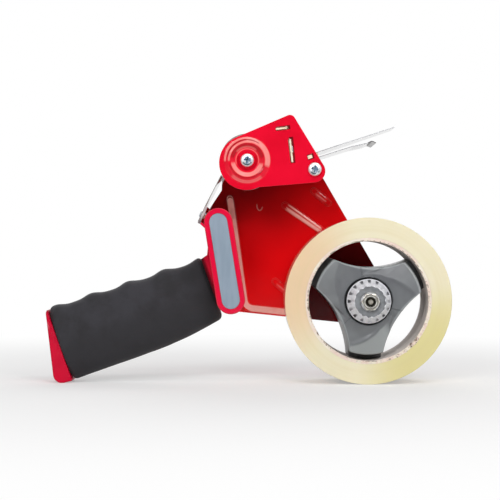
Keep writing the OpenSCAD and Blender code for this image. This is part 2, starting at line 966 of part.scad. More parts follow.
// Angle that backs the blade, with its own tabs in both plates
module blade_holder() {
    color("silver")
    on_blade()
        difference() {
            union() {
                wide(2 * between)
                    strip([
                            [-blade_t / 2 - holder_arm, holder_z],
                            [-blade_t, holder_z],
                            [-blade_t, holder_low]],
                        blade_t);
                translate([-blade_t / 2 - holder_arm, near_out - tab_out, holder_z - blade_t / 2])
                    cube([holder_arm - 0.4, far_out - near_out + 2 * tab_out, blade_t]);
            }
            rivet_holes(blade_rivet_z);
        }
}

// Two rivets through the blade and its holder
module blade_rivets() {
    color("silver")
    on_blade()
        for (side = [-1, 1])
            translate([-blade_t * 1.5, side * tape_end * 0.6, blade_rivet_z])
                rivet(2 * blade_t);
}

// Flat bar across the head that carries both wiping leaves
module leaf_bar() {
    color("silver")
    on_leaf()
        difference() {
            union() {
                wide(2 * between)
                    translate([-bar_back, -bar_t / 2])
                        square([bar_back + bar_front, bar_t]);
                wide(2 * (half + sheet + tab_out))
                    square([2.9, bar_t - 0.4], center = true);
            }
            leaf_rivet_holes(rivet_d);
        }
}

// Holes for the rivets of the leaves
module leaf_rivet_holes(d) {
    for (side = [-1, 1])
        translate([1.5, side * tape_end * 0.6, -10])
            cylinder(d = d, h = 20, $fn = 32);
}

// Upper leaf of spring steel, tapering to its tip, that wipes the tape down
module wiper_leaf() {
    root_z = bar_t / 2 + leaf_t / 2;
    taper = [
        [-bar_back, -wiper_w / 2], [wiper_len / 3, -wiper_w / 2], [wiper_len + 4, -wiper_tip_w / 2],
        [wiper_len + 4, wiper_tip_w / 2], [wiper_len / 3, wiper_w / 2], [-bar_back, wiper_w / 2]];
    color("#dcdcdc")
    on_leaf()
        difference() {
            intersection() {
                wide(wiper_w)
                    strip([
                            [-bar_back + 0.5, root_z],
                            [bar_front, root_z],
                            [wiper_len - 1.5, root_z + 0.4],
                            [wiper_len, root_z + 1.5]],
                        leaf_t);
                translate([0, 0, -10])
                    linear_extrude(30)
                        polygon(taper);
            }
            leaf_rivet_holes(rivet_d + 2 * slip_fit);
        }
}

// Lower leaf, shorter, with a curled tip
module helper_leaf() {
    root_z = -bar_t / 2 - leaf_t / 2;
    color("#c9c9c9")
    on_leaf()
        difference() {
            wide(helper_w)
                strip([
                        [-bar_back + 0.5, root_z],
                        [bar_front, root_z],
                        [helper_len * 0.65, root_z - 0.2],
                        [helper_len * 0.87, root_z - 1.2],
                        [helper_len * 0.95, root_z - 0.7],
                        [helper_len, root_z - 2.7]],
                    leaf_t);
            leaf_rivet_holes(rivet_d + 2 * slip_fit);
        }
}

// Two rivets through the leaves and their bar
module leaf_rivets() {
    grip = bar_t + 2 * (leaf_t + run_fit);
    color("silver")
    on_leaf()
        for (side = [-1, 1])
            translate([1.5, side * tape_end * 0.6, grip / 2])
                rotate([0, 90, 0])
                    rivet(grip);
}

// Thin spring flap that guides the tape on to the roller and keeps it from running back
flap_mid = -flap_t / 2 - run_fit;
module tape_flap() {
    color("#e4e4e4")
    on_lip()
        difference() {
            wide(flap_w)
                strip([
                        [flap_mid, 0.4],
                        [flap_mid, lip_len + 0.6],
                        [flap_mid + 0.9, flap_len]],
                    flap_t);
            flap_rivet_holes();
        }
}

// Holes for the rivets of the flap
module flap_rivet_holes() {
    for (side = [-1, 1])
        translate([-10, side * flap_w / 3, lip_len / 2])
            rotate([0, 90, 0])
                cylinder(d = rivet_d + 2 * slip_fit, h = 20, $fn = 32);
}

// Two rivets through the flap and the lip
module flap_rivets() {
    color("silver")
    on_lip()
        for (side = [-1, 1])
            translate([-flap_t - 2 * run_fit, side * flap_w / 3, lip_len / 2])
                rivet(flap_t + sheet + 2 * run_fit);
}

side_frame();
head_plate();
flange_panel();
handle_core();
handle_screws();
foam_grip();
roller_axle();
corner_spacer();
head_screws();
head_washers();
head_nuts();
roller_core();
roller_sleeve();
spindle();
spindle_washer();
spindle_nut();
hub();
hub_bush();
tape_core();
tape_winding();
brake_washer();
brake_spring();
spring_seat();
tension_knob();
knob_nut();
cutting_blade();
blade_holder();
blade_rivets();
leaf_bar();
leaf_rivets();
wiper_leaf();
helper_leaf();
tape_flap();
flap_rivets();
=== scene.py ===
"""A hand-held dispenser for packing tape: pressed steel frame, braked hub, foam grip. Lengths in metres."""

from math import acos, asin, atan2, copysign, cos, degrees, hypot, pi, radians, sin, sqrt, tau

import bpy
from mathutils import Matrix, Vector, noise


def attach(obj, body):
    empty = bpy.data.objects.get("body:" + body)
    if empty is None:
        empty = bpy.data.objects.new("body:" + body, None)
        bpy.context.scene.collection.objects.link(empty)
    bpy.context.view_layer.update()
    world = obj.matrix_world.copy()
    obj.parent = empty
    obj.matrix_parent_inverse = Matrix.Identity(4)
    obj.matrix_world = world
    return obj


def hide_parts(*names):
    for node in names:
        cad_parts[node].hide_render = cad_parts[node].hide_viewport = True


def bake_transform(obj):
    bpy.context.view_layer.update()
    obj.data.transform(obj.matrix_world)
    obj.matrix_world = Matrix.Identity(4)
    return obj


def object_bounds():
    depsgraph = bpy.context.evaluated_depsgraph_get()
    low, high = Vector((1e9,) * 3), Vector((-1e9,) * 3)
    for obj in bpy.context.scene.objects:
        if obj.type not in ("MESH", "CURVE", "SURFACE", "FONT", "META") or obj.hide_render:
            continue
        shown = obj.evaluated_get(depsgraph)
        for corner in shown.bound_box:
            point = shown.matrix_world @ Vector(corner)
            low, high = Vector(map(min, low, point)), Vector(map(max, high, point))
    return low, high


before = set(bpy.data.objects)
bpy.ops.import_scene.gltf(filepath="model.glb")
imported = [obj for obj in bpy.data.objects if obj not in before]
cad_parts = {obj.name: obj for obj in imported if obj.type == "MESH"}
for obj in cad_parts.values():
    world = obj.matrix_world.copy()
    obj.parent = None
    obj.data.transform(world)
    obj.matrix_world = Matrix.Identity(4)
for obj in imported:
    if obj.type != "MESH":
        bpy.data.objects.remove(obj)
cad_low, cad_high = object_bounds()

MM = 0.001


# ---- Camera ----
# It stands level with the middle of the object and looks straight along +Y at the open side.
# It is about a metre away, so the roll and the web show a little of their depth.
camera_data = bpy.data.cameras.new("camera")
camera_data.lens = 110.6
camera_data.sensor_width = 36
camera_data.clip_start = 0.05
camera_data.clip_end = 50
camera = bpy.data.objects.new("camera", camera_data)
camera.location = Vector((1.75, -994.5, 85.4)) * MM
camera.rotation_euler = (radians(90), 0, 0)
bpy.context.scene.collection.objects.link(camera)
bpy.context.scene.camera = camera


# ---- Studio ----
# A pale floor, soft boxes and an even white surround that together light a colour about as it is written.
# The wall at the open side of the object is dark, as in a studio, so gloss that faces it stays deep.
SOFT_BOXES = {
    "key": ((-0.45, -1.3, 0.6), (0.4, 0.4), 5.2),
    "fill": ((0.5, -1.25, 0.75), (0.4, 0.4), 4.4),
    "overhead": ((0.3, -0.75, 1.15), (1.2, 0.35), 5.5),
    "back": ((0.1, 1.25, 1.05), (1.2, 1.2), 9),
}
SURROUND = 0.29
WHITE_WALL = 0.85
DARK_WALL = 0.03
FLOOR_HALF = 4.0
OBJECT_MIDDLE = (cad_low + cad_high) / 2


def linear(hex_colour):
    """The linear colour, with alpha 1, of an sRGB hex value."""
    channels = [int(hex_colour[i:i + 2], 16) / 255 for i in (1, 3, 5)]
    return [c / 12.92 if c <= 0.04045 else ((c + 0.055) / 1.055) ** 2.4 for c in channels] + [1]


def add(tree, kind, *values, **named):
    """Adds a node, whose kind may end in its operation; ranges are smooth and mixes are of colours.
    Values fill the open inputs in order, capitals name an input, and small letters name a setting.
    A value is a constant, an sRGB hex colour, or a socket to join; a node stands for its first open output."""
    kind, _, operation = kind.partition(" ")
    made = tree.nodes.new("ShaderNode" + kind)
    settings = {"MapRange": ("interpolation_type", "SMOOTHSTEP"), "Mix": ("data_type", "RGBA")}
    if operation or kind in settings:
        setattr(made, *settings.get(kind, ("operation", operation)))
    for name in filter(str.islower, list(named)):
        setattr(made, name, named.pop(name))
    joined = list(zip([socket for socket in made.inputs if socket.enabled], values))
    joined += [(made.inputs[name.replace("_", " ")], value) for name, value in named.items()]
    for socket, value in joined:
        if isinstance(value, bpy.types.Node):
            value = next(output for output in value.outputs if output.enabled)
        if isinstance(value, bpy.types.NodeSocket):
            tree.links.new(value, socket)
        else:
            socket.default_value = linear(value) if isinstance(value, str) else value
    return made


def material(name, build, *more):
    """A new material with the shader that build adds to its tree."""
    made = bpy.data.materials.new(name)
    made.use_nodes = True
    made.node_tree.nodes.clear()
    add(made.node_tree, "OutputMaterial", build(made.node_tree, *more))
    return made


def light_studio():
    """Rectangular soft boxes that all aim at the middle of the object."""
    for name, (stand, size, power) in SOFT_BOXES.items():
        lamp = bpy.data.lights.new(name, "AREA")
        lamp.shape = "RECTANGLE"
        lamp.size, lamp.size_y = size
        lamp.energy = power
        box = bpy.data.objects.new(name, lamp)
        box.location = stand
        box.rotation_euler = (OBJECT_MIDDLE - box.location).to_track_quat("-Z", "Y").to_euler()
        bpy.context.scene.collection.objects.link(box)


def shade_world():
    """The surround lights evenly. The camera, gloss and glass see it white, apart from the dark wall in gloss."""
    world = bpy.data.worlds.new("studio")
    world.use_nodes = True
    tree = world.node_tree
    tree.nodes.clear()
    path = add(tree, "LightPath").outputs
    towards = add(tree, "VectorMath DOT_PRODUCT", add(tree, "TexCoord").outputs["Generated"], (0, -1, 0))
    wall = add(tree, "MapRange", towards, 0.8, 0.97, WHITE_WALL, DARK_WALL)
    gloss = add(tree, "Math MULTIPLY", path["Is Glossy Ray"], wall)
    seen = add(tree, "Math MAXIMUM", path["Is Camera Ray"], path["Is Transmission Ray"])
    lamp = add(tree, "Math MULTIPLY", add(tree, "Math SUBTRACT", 1.0, path["Is Glossy Ray"]), SURROUND)
    strength = add(tree, "Math MAXIMUM", add(tree, "Math ADD", lamp, gloss), seen)
    add(tree, "OutputWorld", add(tree, "Background", "#ffffff", strength))
    bpy.context.scene.world = world


def pale_floor(tree):
    """Matt near the object, to keep its shadow, and white to the camera further away."""
    away = add(tree, "VectorMath LENGTH", add(tree, "TexCoord").outputs["Object"])
    fade = add(tree, "MapRange", away, 0.15, 0.6, 0.35, 1)
    glow = add(tree, "Math MULTIPLY", add(tree, "LightPath").outputs["Is Camera Ray"], fade)
    return add(tree, "MixShader", glow, add(tree, "BsdfDiffuse", "#f4f4f4"), add(tree, "Emission", "#ffffff", 1.0))


def lay_floor():
    mesh = bpy.data.meshes.new("floor")
    corners = [(x * FLOOR_HALF, y * FLOOR_HALF, 0) for x, y in ((-1, -1), (1, -1), (1, 1), (-1, 1))]
    mesh.from_pydata(corners, [], [(0, 1, 2, 3)])
    mesh.materials.append(material("pale_floor", pale_floor))
    floor = bpy.data.objects.new("floor", mesh)
    bpy.context.scene.collection.objects.link(floor)


bpy.context.scene.view_settings.view_transform = "Standard"
light_studio()
shade_world()
lay_floor()


# ---- Pressed side frame ----
# One sheet of mild steel, 1.5 mm thick, blanked, beaded and folded twice: side plate, web and near flange.
# It is dipped in red enamel, drawn deeper in the fold as painted shadow and pinker on the flange as painted sheen.
# Enamel: a hard gloss with slight orange peel; raised ridges get a painted highlight in a paler enamel colour.
ENAMEL_INSIDE = "#ee050e"
ENAMEL_PAINTED_SHADE = "#c4040b"
ENAMEL_OUTSIDE = "#da072b"
ENAMEL_PAINTED_SHADOW = "#8a0208"
LIP_EDGE = "#c2b6b8"
LIP_EDGE_DARK = "#7a7073"
ENAMEL_FLANGE_SHEEN = "#e2103c"
# Painted highlight colour for enamel slopes and edges.
ENAMEL_PAINTED_HIGHLIGHT = "#f6938c"
RIDGE_PAINTED_HIGHLIGHT = "#ffbab0"
ORANGE_PEEL = 1.6
MID_DEPTH = 4.5
SIDE_PLATE = MID_DEPTH + 26
BEAD = (5.6, 1.45)
FLANGE_AT = Vector((-10.4, 0, 53.8))
FLANGE_LEAN = radians(9.15)
ROLL_AT = Vector((77, 0, 53))
ROLLER_AT = Vector((0, 0, 142.2))
LIP_AT = Vector((-24.9, 0, 112.4))


def place(tree, origin=Vector()):
    """The piece's own place, in millimetres from an origin."""
    moved = add(tree, "VectorMath SUBTRACT", add(tree, "TexCoord").outputs["Object"], origin * MM)
    return add(tree, "VectorMath SCALE", moved, 1 / MM)


def grain(tree, size, detail=2.0, rough=0.5, stretch=(1, 1, 1)):
    """Noise whose grains are about size millimetres across, fixed to the piece; stretch makes them longer."""
    return add(tree, "TexNoise", add(tree, "VectorMath DIVIDE", place(tree), stretch), 1 / size, detail, rough)


def shade(tree, value, low, high, base, colour, amount=1.0):
    """Base going over to colour, as far as amount, while value goes from low to high."""
    return add(tree, "Mix", add(tree, "MapRange", value, low, high, 0, amount), base, colour)


# It paints a highlight or shade along edges, in the colour given.
def painted_edge(tree, radius, base, colour, amount=1.0):
    """Painted edge tone: base going over to colour within radius mm of an edge, where the rounded normal turns away.
    """
    along = add(tree, "VectorMath DOT_PRODUCT", add(tree, "Bevel", radius * MM, samples=6),
                add(tree, "NewGeometry").outputs["Normal"])
    return shade(tree, along, 0.99, 0.8, base, colour, amount)


def relief(tree, radius, height, depth):
    """The normal with edges softened by radius, and a bump of the given depth on top, both in millimetres."""
    edge = add(tree, "Bevel", radius * MM, samples=6)
    return add(tree, "Bump", Height=height, Distance=depth * MM, Strength=1.0, Normal=edge)


def facing(tree):
    """How far the face looks towards the back: 1 there and -1 at the open side."""
    return add(tree, "SeparateXYZ", add(tree, "NewGeometry").outputs["True Normal"]).outputs["Y"]


def frame_colour(tree):
    """The fold: painted shadow under the head and behind the roll, a painted pinker sheen on the flange, bare lip."""
    x, y, z = add(tree, "SeparateXYZ", place(tree)).outputs
    front = facing(tree)
    inner = add(tree, "MapRange", front, 0.3, -0.1)
    height = add(tree, "Math MULTIPLY_ADD", x, -0.45, z)
    height = add(tree, "Math MULTIPLY_ADD", grain(tree, 30, 3), 14, height)
    # Painted shadow of the head: the inner enamel goes deeper towards the head.
    base = shade(tree, height, 70, 118, ENAMEL_INSIDE, ENAMEL_PAINTED_SHADE, inner)
    base = shade(tree, height, 108, 134, base, ENAMEL_PAINTED_SHADOW, inner)
    base = shade(tree, front, 0.5, 0.8, base, ENAMEL_OUTSIDE)
    # Painted shadow of the roll on the plate round the spindle.
    from_roll = add(tree, "VectorMath DISTANCE", add(tree, "CombineXYZ", X=x, Z=z), ROLL_AT)
    base = shade(tree, from_roll, 47, 38, base, ENAMEL_PAINTED_SHADOW, inner)
    # Painted sheen: the outer flange is drawn pinker, as the bright surround reflected in its enamel.
    base = shade(tree, y, -20.5, -21.4, base, ENAMEL_FLANGE_SHEEN)
    across = add(tree, "VectorMath DOT_PRODUCT", place(tree, LIP_AT), (-0.906, 0, 0.423))
    lip = add(tree, "MapRange", across, -0.4, 0.1)
    sheared = shade(tree, z, 103, 108, LIP_EDGE_DARK, LIP_EDGE)
    return shade(tree, front, -0.5, -0.8, base, sheared, lip)


def frame_enamel(tree):
    """Gloss that is weaker on the faces that look straight out of the open side."""
    # Painted highlight along the edges of the pressing.
    return add(tree, "BsdfPrincipled", painted_edge(tree, 0.6, frame_colour(tree), ENAMEL_PAINTED_HIGHLIGHT, 0.2), Roughness=0.4,
               Specular_IOR_Level=0.03, Coat_Roughness=0.05,
               Coat_Weight=add(tree, "MapRange", facing(tree), -0.9, -0.5, 0.22, 0.6),
               Normal=relief(tree, 0.6, grain(tree, ORANGE_PEEL), 0.012))


def ridge_enamel(tree):
    """Enamel on a ridge, with a painted highlight where the ridge's own attribute says so."""
    ridge_highlight = add(tree, "Attribute", attribute_name="ridge_highlight").outputs["Fac"]
    patchy = add(tree, "MapRange", grain(tree, 9, 3), 0.3, 0.55, 0.8, 1)
    patchy = add(tree, "Math MULTIPLY", ridge_highlight, patchy)
    return add(tree, "BsdfPrincipled", add(tree, "Mix", patchy, frame_colour(tree), RIDGE_PAINTED_HIGHLIGHT),
               Roughness=0.35, Specular_IOR_Level=0.1, Coat_Weight=0.5, Coat_Roughness=0.08,
               Normal=add(tree, "Bump", Height=grain(tree, ORANGE_PEEL), Distance=0.012 * MM, Strength=1.0))


def dress(node, look):
    """Gives a CAD node its material."""
    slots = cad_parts[node].data.materials
    slots.clear()
    slots.append(look)


def piece(name, rings, look, body, closed=True, capped=False):
    """A mesh through a row of rings of points, in millimetres in the object's own frame, that rides on a body."""
    around = len(rings[0])
    faces = []
    for i in range(len(rings) - 1):
        for k in range(around if closed else around - 1):
            after = (k + 1) % around
            faces.append((i * around + k, i * around + after, (i + 1) * around + after, (i + 1) * around + k))
    if capped:
        faces.append(tuple(range(around - 1, -1, -1)))
        faces.append(tuple((len(rings) - 1) * around + k for k in range(around)))
    mesh = bpy.data.meshes.new(name)
    mesh.from_pydata([Vector(point) * MM for ring in rings for point in ring], [], faces)
    mesh.validate()
    mesh.materials.append(look)
    made = bpy.data.objects.new(name, mesh)
    bpy.context.scene.collection.objects.link(made)
    for face in mesh.polygons:
        face.use_smooth = True
    if body:
        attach(made, body)
    return made


def leaning(origin, lean, along, out, y=0):
    """The point at a distance along a direction that leans up from +X, and a distance out across it."""
    return Vector((origin.x + along * cos(lean) - out * sin(lean), y, origin.z + along * sin(lean) + out * cos(lean)))


def flange_point(x, z):
    """A point of the leaning near flange and web."""
    return leaning(FLANGE_AT, FLANGE_LEAN, x, z)


def ridge_path(corners, radius, step=0.8):
    """Points along a line with its inner corners rounded."""
    points = [corners[0]]
    for before, corner, after in zip(corners, corners[1:], corners[2:]):
        start = corner + (before - corner).normalized() * radius
        end = corner + (after - corner).normalized() * radius
        points += [start.lerp(corner, t / 8).lerp(corner.lerp(end, t / 8), t / 8) for t in range(9)]
    points.append(corners[-1])
    fine = []
    for a, b in zip(points, points[1:]):
        count = max(1, round((b - a).length / step))
        fine += [a.lerp(b, i / count) for i in range(count)]
    return fine + [points[-1]]


def smooth_step(value):
    value = min(1.0, max(0.0, value))
    return value * value * (3 - 2 * value)


def make_ridge(name, corners, size, look, highlight_at, radius=5.0, run_in=4.0):
    """A half-round ridge pressed from the side plate towards the tape; its painted highlight fades in over run_in."""
    width, height = size
    points = ridge_path(corners, radius)
    lengths = [0]
    for a, b in zip(points, points[1:]):
        lengths.append(lengths[-1] + (b - a).length)
    rings, ridge_highlight = [], []
    for i, point in enumerate(points):
        ahead = (points[min(i + 1, len(points) - 1)] - points[max(i - 1, 0)]).normalized()
        across = Vector((ahead.z, 0, -ahead.x))
        from_end = min(lengths[i], lengths[-1] - lengths[i])
        swell = sqrt(max(0.0, 1 - max(0.0, 1 - from_end / (width * 0.8)) ** 2)) + 0.02
        ring = []
        for k in range(25):
            turn = pi * k / 24
            # The share of painted highlight at this point of the ridge.
            ridge_highlight.append(highlight_at(cos(turn), lengths[i] / lengths[-1]) * smooth_step(from_end / run_in))
            out = point + across * (width / 2 * swell * cos(turn))
            out.y = SIDE_PLATE + 0.05 - height * swell * sin(turn) ** 0.8
            ring.append(out)
        rings.append(ring)
    ridge = piece(name, rings, look, "frame", closed=False)
    ridge.data.attributes.new("ridge_highlight", "FLOAT", "POINT").data.foreach_set("value", ridge_highlight)


# Painted highlight along the ridge's crown.
def crown(across, along):
    return smooth_step((0.86 - abs(across)) / 0.3)


def two_shoulders(across, along):
    """Painted highlights on both shoulders, with plain enamel between them that closes up towards the roll."""
    apart = 0.52 - 0.2 * along
    lines = [smooth_step(1.35 - abs(across - side * apart) / half) * share
             for side, half, share in ((1, 0.42, 1.0), (-1, 0.22, 0.95))]
    return max(lines) * (0.45 + 0.55 * smooth_step(along * 3))


# A faint painted highlight along one side of a ridge.
def faint_line(across, along):
    return 0.3 * smooth_step(1 - abs(across - 0.2) / 0.3) * sin(pi * along)


dress("side_frame", material("red_enamel_frame", frame_enamel))
ridges = material("red_enamel_ridge", ridge_enamel)
make_ridge("bead_along_the_fold", [flange_point(9.3, 68), flange_point(7.9, -8.2), ROLL_AT - Vector((42.4, 0, 9.9))],
           BEAD, ridges, crown, run_in=2.0)
for name, start, end, thinned in (
        ("bead_to_the_roll", ROLLER_AT + Vector((24.4, 0, -26.4)), ROLLER_AT + Vector((51, 0, -45)), two_shoulders),
        ("short_bead_low", ROLL_AT + Vector((-59, 0, 11.8)), ROLL_AT + Vector((-44, 0, -0.8)), faint_line),
        ("short_bead_high", ROLLER_AT + Vector((44, 0, -17)), ROLLER_AT + Vector((54.6, 0, -25.8)), faint_line)):
    make_ridge(name, [start, end], BEAD, ridges, thinned)
half_moon = [ROLLER_AT + Vector((8.2 + 1.9 * cos(a), 0, -27 + 3.4 * sin(a)))
             for a in (radians(d) for d in range(-205, -4, 20))]
make_ridge("half_moon_mark", half_moon, (1.1, 0.5), ridges, lambda across, along: 0.3 * crown(across, along),
           0.2, 1.5)


# ---- Near head plate ----
# A second blank of the same sheet, parallel to the side plate, with a ring raised round the roller's screw.
# It stands in front of everything; its enamel is drawn pinker than the fold's, as a painted sheen of the surround.
ENAMEL_HEAD_AND_SHEEN = "#ea0a2e"
ENAMEL_HEAD_DEEP = "#df0728"
HEAD_PAINTED_SHADE = "#a8000c"
# Painted light and shade round the ring: radius and half width in millimetres, middle and spread in degrees, share,
# colour.
RING_PAINTED_LIGHT_AND_SHADE = [(9.6, 1.5, 90, 88, 0.7, HEAD_PAINTED_SHADE), (12.9, 2.0, 38, 60, 0.9, ENAMEL_PAINTED_HIGHLIGHT),
               (14.1, 0.8, 130, 56, 0.75, ENAMEL_PAINTED_HIGHLIGHT), (11.6, 0.8, 130, 56, 0.75, ENAMEL_PAINTED_HIGHLIGHT),
               (12.9, 0.6, 112, 62, 0.8, HEAD_PAINTED_SHADE), (9.1, 1.6, 268, 84, 0.9, ENAMEL_PAINTED_HIGHLIGHT),
               (11.3, 0.7, 270, 80, 0.7, HEAD_PAINTED_SHADE), (13.6, 1.2, 268, 46, 0.4, ENAMEL_PAINTED_HIGHLIGHT),
               (7.2, 0.4, 90, 120, 0.45, ENAMEL_PAINTED_HIGHLIGHT), (8.5, 0.8, 95, 50, 0.3, ENAMEL_PAINTED_HIGHLIGHT),
               (5.8, 0.9, 270, 130, 0.6, HEAD_PAINTED_SHADE)]
# Painted shade round the tabs, in the slot gaps: the slot's middle, its half sizes and its lean in degrees.
SLOT_PAINTED_SHADE_BOXES = [((28.4, 148.7), (0.8, 7.7), 5.2), ((22.7, 162.6), (3.9, 0.75), 8), ((40.1, 144.5), (1.5, 1.1), 18)]
SLOT_PAINTED_SHADE = "#3a0d0c"


def head_enamel(tree):
    # The head's own red, drawn pinker as painted sheen.
    base = shade(tree, grain(tree, 24, 2), 0.35, 0.65, ENAMEL_HEAD_DEEP, ENAMEL_HEAD_AND_SHEEN)
    flat = add(tree, "VectorMath MULTIPLY", place(tree, ROLLER_AT), (1, 0, 1))
    away = add(tree, "VectorMath LENGTH", flat)
    turn = add(tree, "VectorMath NORMALIZE", flat)
    # Painted highlight and painted shade arcs round the raised ring.
    for middle, width, side, spread, share, colour in RING_PAINTED_LIGHT_AND_SHADE:
        off = add(tree, "Math ABSOLUTE", add(tree, "Math SUBTRACT", away, middle))
        towards = (cos(radians(side)), 0, sin(radians(side)))
        arc = add(tree, "MapRange", add(tree, "VectorMath DOT_PRODUCT", turn, towards),
                  cos(radians(spread)), cos(radians(spread * 0.82)), 0, share)
        base = shade(tree, off, width, width * 0.6, base, colour, arc)
    # Painted shade round each slot, where the gap round its tab lies.
    for (x, z), (long, wide), lean in SLOT_PAINTED_SHADE_BOXES:
        middle = (x, 0, z)
        turned = add(tree, "VectorRotate", place(tree), middle, radians(lean), rotation_type="Y_AXIS")
        apart = add(tree, "VectorMath ABSOLUTE", add(tree, "VectorMath SUBTRACT", turned, middle))
        apart = add(tree, "VectorMath SUBTRACT", apart, (long, 0, wide))
        out_x, _, out_z = add(tree, "SeparateXYZ", apart).outputs
        off = add(tree, "Math MAXIMUM", out_x, out_z)
        base = shade(tree, off, 0.9, 0.25, base, SLOT_PAINTED_SHADE, 0.85)
    # Painted highlight along the plate's edges.
    return add(tree, "BsdfPrincipled", painted_edge(tree, 0.5, base, ENAMEL_PAINTED_HIGHLIGHT, 0.2), Roughness=0.4,
               Specular_IOR_Level=0.02, Coat_Weight=0.5, Coat_Roughness=0.1,
               Normal=relief(tree, 0.5, grain(tree, ORANGE_PEEL), 0.01))


dress("head_plate", material("red_enamel_head", head_enamel))


# ---- Blank panel ----
# A strip of satin grey film let into the rim of the near flange, left bare.
# Satin PET film: an even blue-grey with soft cloudy streaks along its length.
PANEL_FILM = "#8e9dae"
PANEL_FILM_DEEP = "#8394a4"


def panel_film(tree):
    streaks = grain(tree, 5, 3, 0.5, (1.0, 1.0, 5.0))
    return add(tree, "BsdfPrincipled", shade(tree, streaks, 0.3, 0.7, PANEL_FILM_DEEP, PANEL_FILM), Roughness=0.42,
               Normal=relief(tree, 0.3, grain(tree, 0.5), 0.01))


dress("flange_panel", material("satin_film", panel_film))


# ---- Handle core ----
# A moulded core screwed to the outside of the web: neck, tongue inside the foam, and the flared heel.
# Pigmented ABS, satin, a shade pinker than the enamel; a painted highlight on the heel, painted shade at the neck.
CORE_RED = "#d20a33"
CORE_RED_DEEP = "#c50730"
CORE_NECK_SHADE = "#3c0009"
CORE_PAINTED_HIGHLIGHT = "#f5a3ab"
GRIP_AT = Vector((-70, 4.5, 41))
GRIP_SLOPE = radians(19.7)
GRIP_START = -53
GRIP_END = 51


def grip_place(tree, turn):
    """Distance from the middle of the grip, along the direction that leans by turn in the side view."""
    return add(tree, "VectorMath DOT_PRODUCT", place(tree, GRIP_AT), (cos(turn), 0, sin(turn)))


def red_abs(tree):
    base = shade(tree, grain(tree, 18, 2), 0.35, 0.65, CORE_RED_DEEP, CORE_RED)
    along = grip_place(tree, GRIP_SLOPE)
    # Painted shade on the neck where it meets the foam.
    neck = add(tree, "MapRange", along, GRIP_END + 3.2, GRIP_END + 1.0, 0, 0.9)
    base = shade(tree, along, GRIP_END - 4, GRIP_END - 2, base, CORE_NECK_SHADE, neck)
    # Painted highlight on the top of the heel.
    heel = add(tree, "MapRange", along, GRIP_START - 2.2, GRIP_START - 3.2, 0, 0.75)
    base = shade(tree, grip_place(tree, GRIP_SLOPE + pi / 2), 12, 19, base, CORE_PAINTED_HIGHLIGHT, heel)
    return add(tree, "BsdfPrincipled", base, Roughness=0.4, Specular_IOR_Level=0.04, Coat_Weight=0.2,
               Coat_Roughness=0.15, Normal=relief(tree, 1.4, grain(tree, 0.7), 0.01))


dress("handle_core", material("red_abs", red_abs))


# ---- Handle screws ----
# Four self-tapping screws, driven from inside the web into the core; only their heads show.
# Zinc plate: a bright silver metal with a faint blue cast and a fine crystalline mottle.
ZINC = "#ced2d6"
ZINC_DULL = "#aab0b8"


def zinc_plate(tree):
    mottle = grain(tree, 2.2, 3, 0.6)
    return add(tree, "BsdfPrincipled", shade(tree, mottle, 0.3, 0.7, ZINC_DULL, ZINC), Metallic=1.0,
               Roughness=add(tree, "MapRange", mottle, 0.3, 0.7, 0.34, 0.18),
               Normal=relief(tree, 0.35, grain(tree, 0.4), 0.006))


zinc = material("zinc_plate", zinc_plate)
dress("handle_screws", zinc)


# ---- Foam grip ----
# A moulded sleeve of soft black foam over the handle's tongue, with finger grooves along its upper side.
# EVA foam: matt and finely pored; lighter worn patches grow towards the upper side as painted light.
FOAM = "#2b2a2d"
FOAM_WORN_AND_LIT = "#36353a"
FOAM_DEEP = "#1f1f21"
# The pores are about 0.2 mm across, too fine to show; they are drawn this coarse.
FOAM_PORE = 0.9
GRIP_HEIGHT = 47.4
GRIP_THICKNESS = 30
GRIP_CORNER = 2.8
GROOVE_PITCH = 24.6
GROOVE_DEPTH = 0.95


def foam(tree):
    pores = grain(tree, FOAM_PORE, 3, 0.65)
    # Worn patches, with painted light growing towards the upper side.
    lit_above = add(tree, "MapRange", grip_place(tree, GRIP_SLOPE + pi / 2), -4, 8, 0.25, 1)
    base = shade(tree, grain(tree, 16, 3, 0.55), 0.3, 0.65, FOAM, FOAM_WORN_AND_LIT, lit_above)
    # Painted shade towards the neck end, next to the handle core.
    base = shade(tree, grip_place(tree, GRIP_SLOPE), GRIP_END - 20, GRIP_END - 4, base, FOAM_DEEP, 0.5)
    base = shade(tree, pores, 0.62, 0.75, base, FOAM_DEEP, 0.6)
    return add(tree, "BsdfPrincipled", base, Roughness=0.85, Specular_IOR_Level=0.3, Sheen_Weight=0.1,
               Sheen_Roughness=0.5, Normal=add(tree, "Bump", Height=pores, Distance=0.08 * MM, Strength=0.9))


def grip_upper(u):
    """Upper outline: four low crowns, each with a flat top, and grooves for three fingers between them."""
    wave = cos(2 * pi * (u - 25) / GROOVE_PITCH)
    return GRIP_HEIGHT / 2 + 0.5 - 0.028 * u + GROOVE_DEPTH * (wave + 0.18 * cos(2 * acos(wave)))


def grip_lower(u):
    return -GRIP_HEIGHT / 2 + 0.5 + 0.002 * max(0, u) ** 2


def signed_power(value, power):
    return copysign(abs(value) ** power, value)


def grip_ring(u, inset, sides=72):
    """One ring of the sleeve: a rounded square section, dented a little as soft foam is."""
    ring = []
    low, high = grip_lower(u), grip_upper(u)
    middle, rise = (low + high) / 2, (high - low) / 2 - inset
    power = 0.78 - 0.3 * smooth_step((u - 28) / 16)
    for k in range(sides):
        turn = 2 * pi * k / sides
        y = (GRIP_THICKNESS / 2 - inset) * signed_power(cos(turn), power)
        v = middle + rise * signed_power(sin(turn), power)
        point = leaning(GRIP_AT, GRIP_SLOPE, u, v, GRIP_AT.y + y)
        sag = noise.noise(point / 16) * 0.3 + noise.noise(point / 6) * 0.1
        inward = (leaning(GRIP_AT, GRIP_SLOPE, u, middle, GRIP_AT.y) - point).normalized()
        ring.append(point + inward * max(sag, -0.25))
    return ring


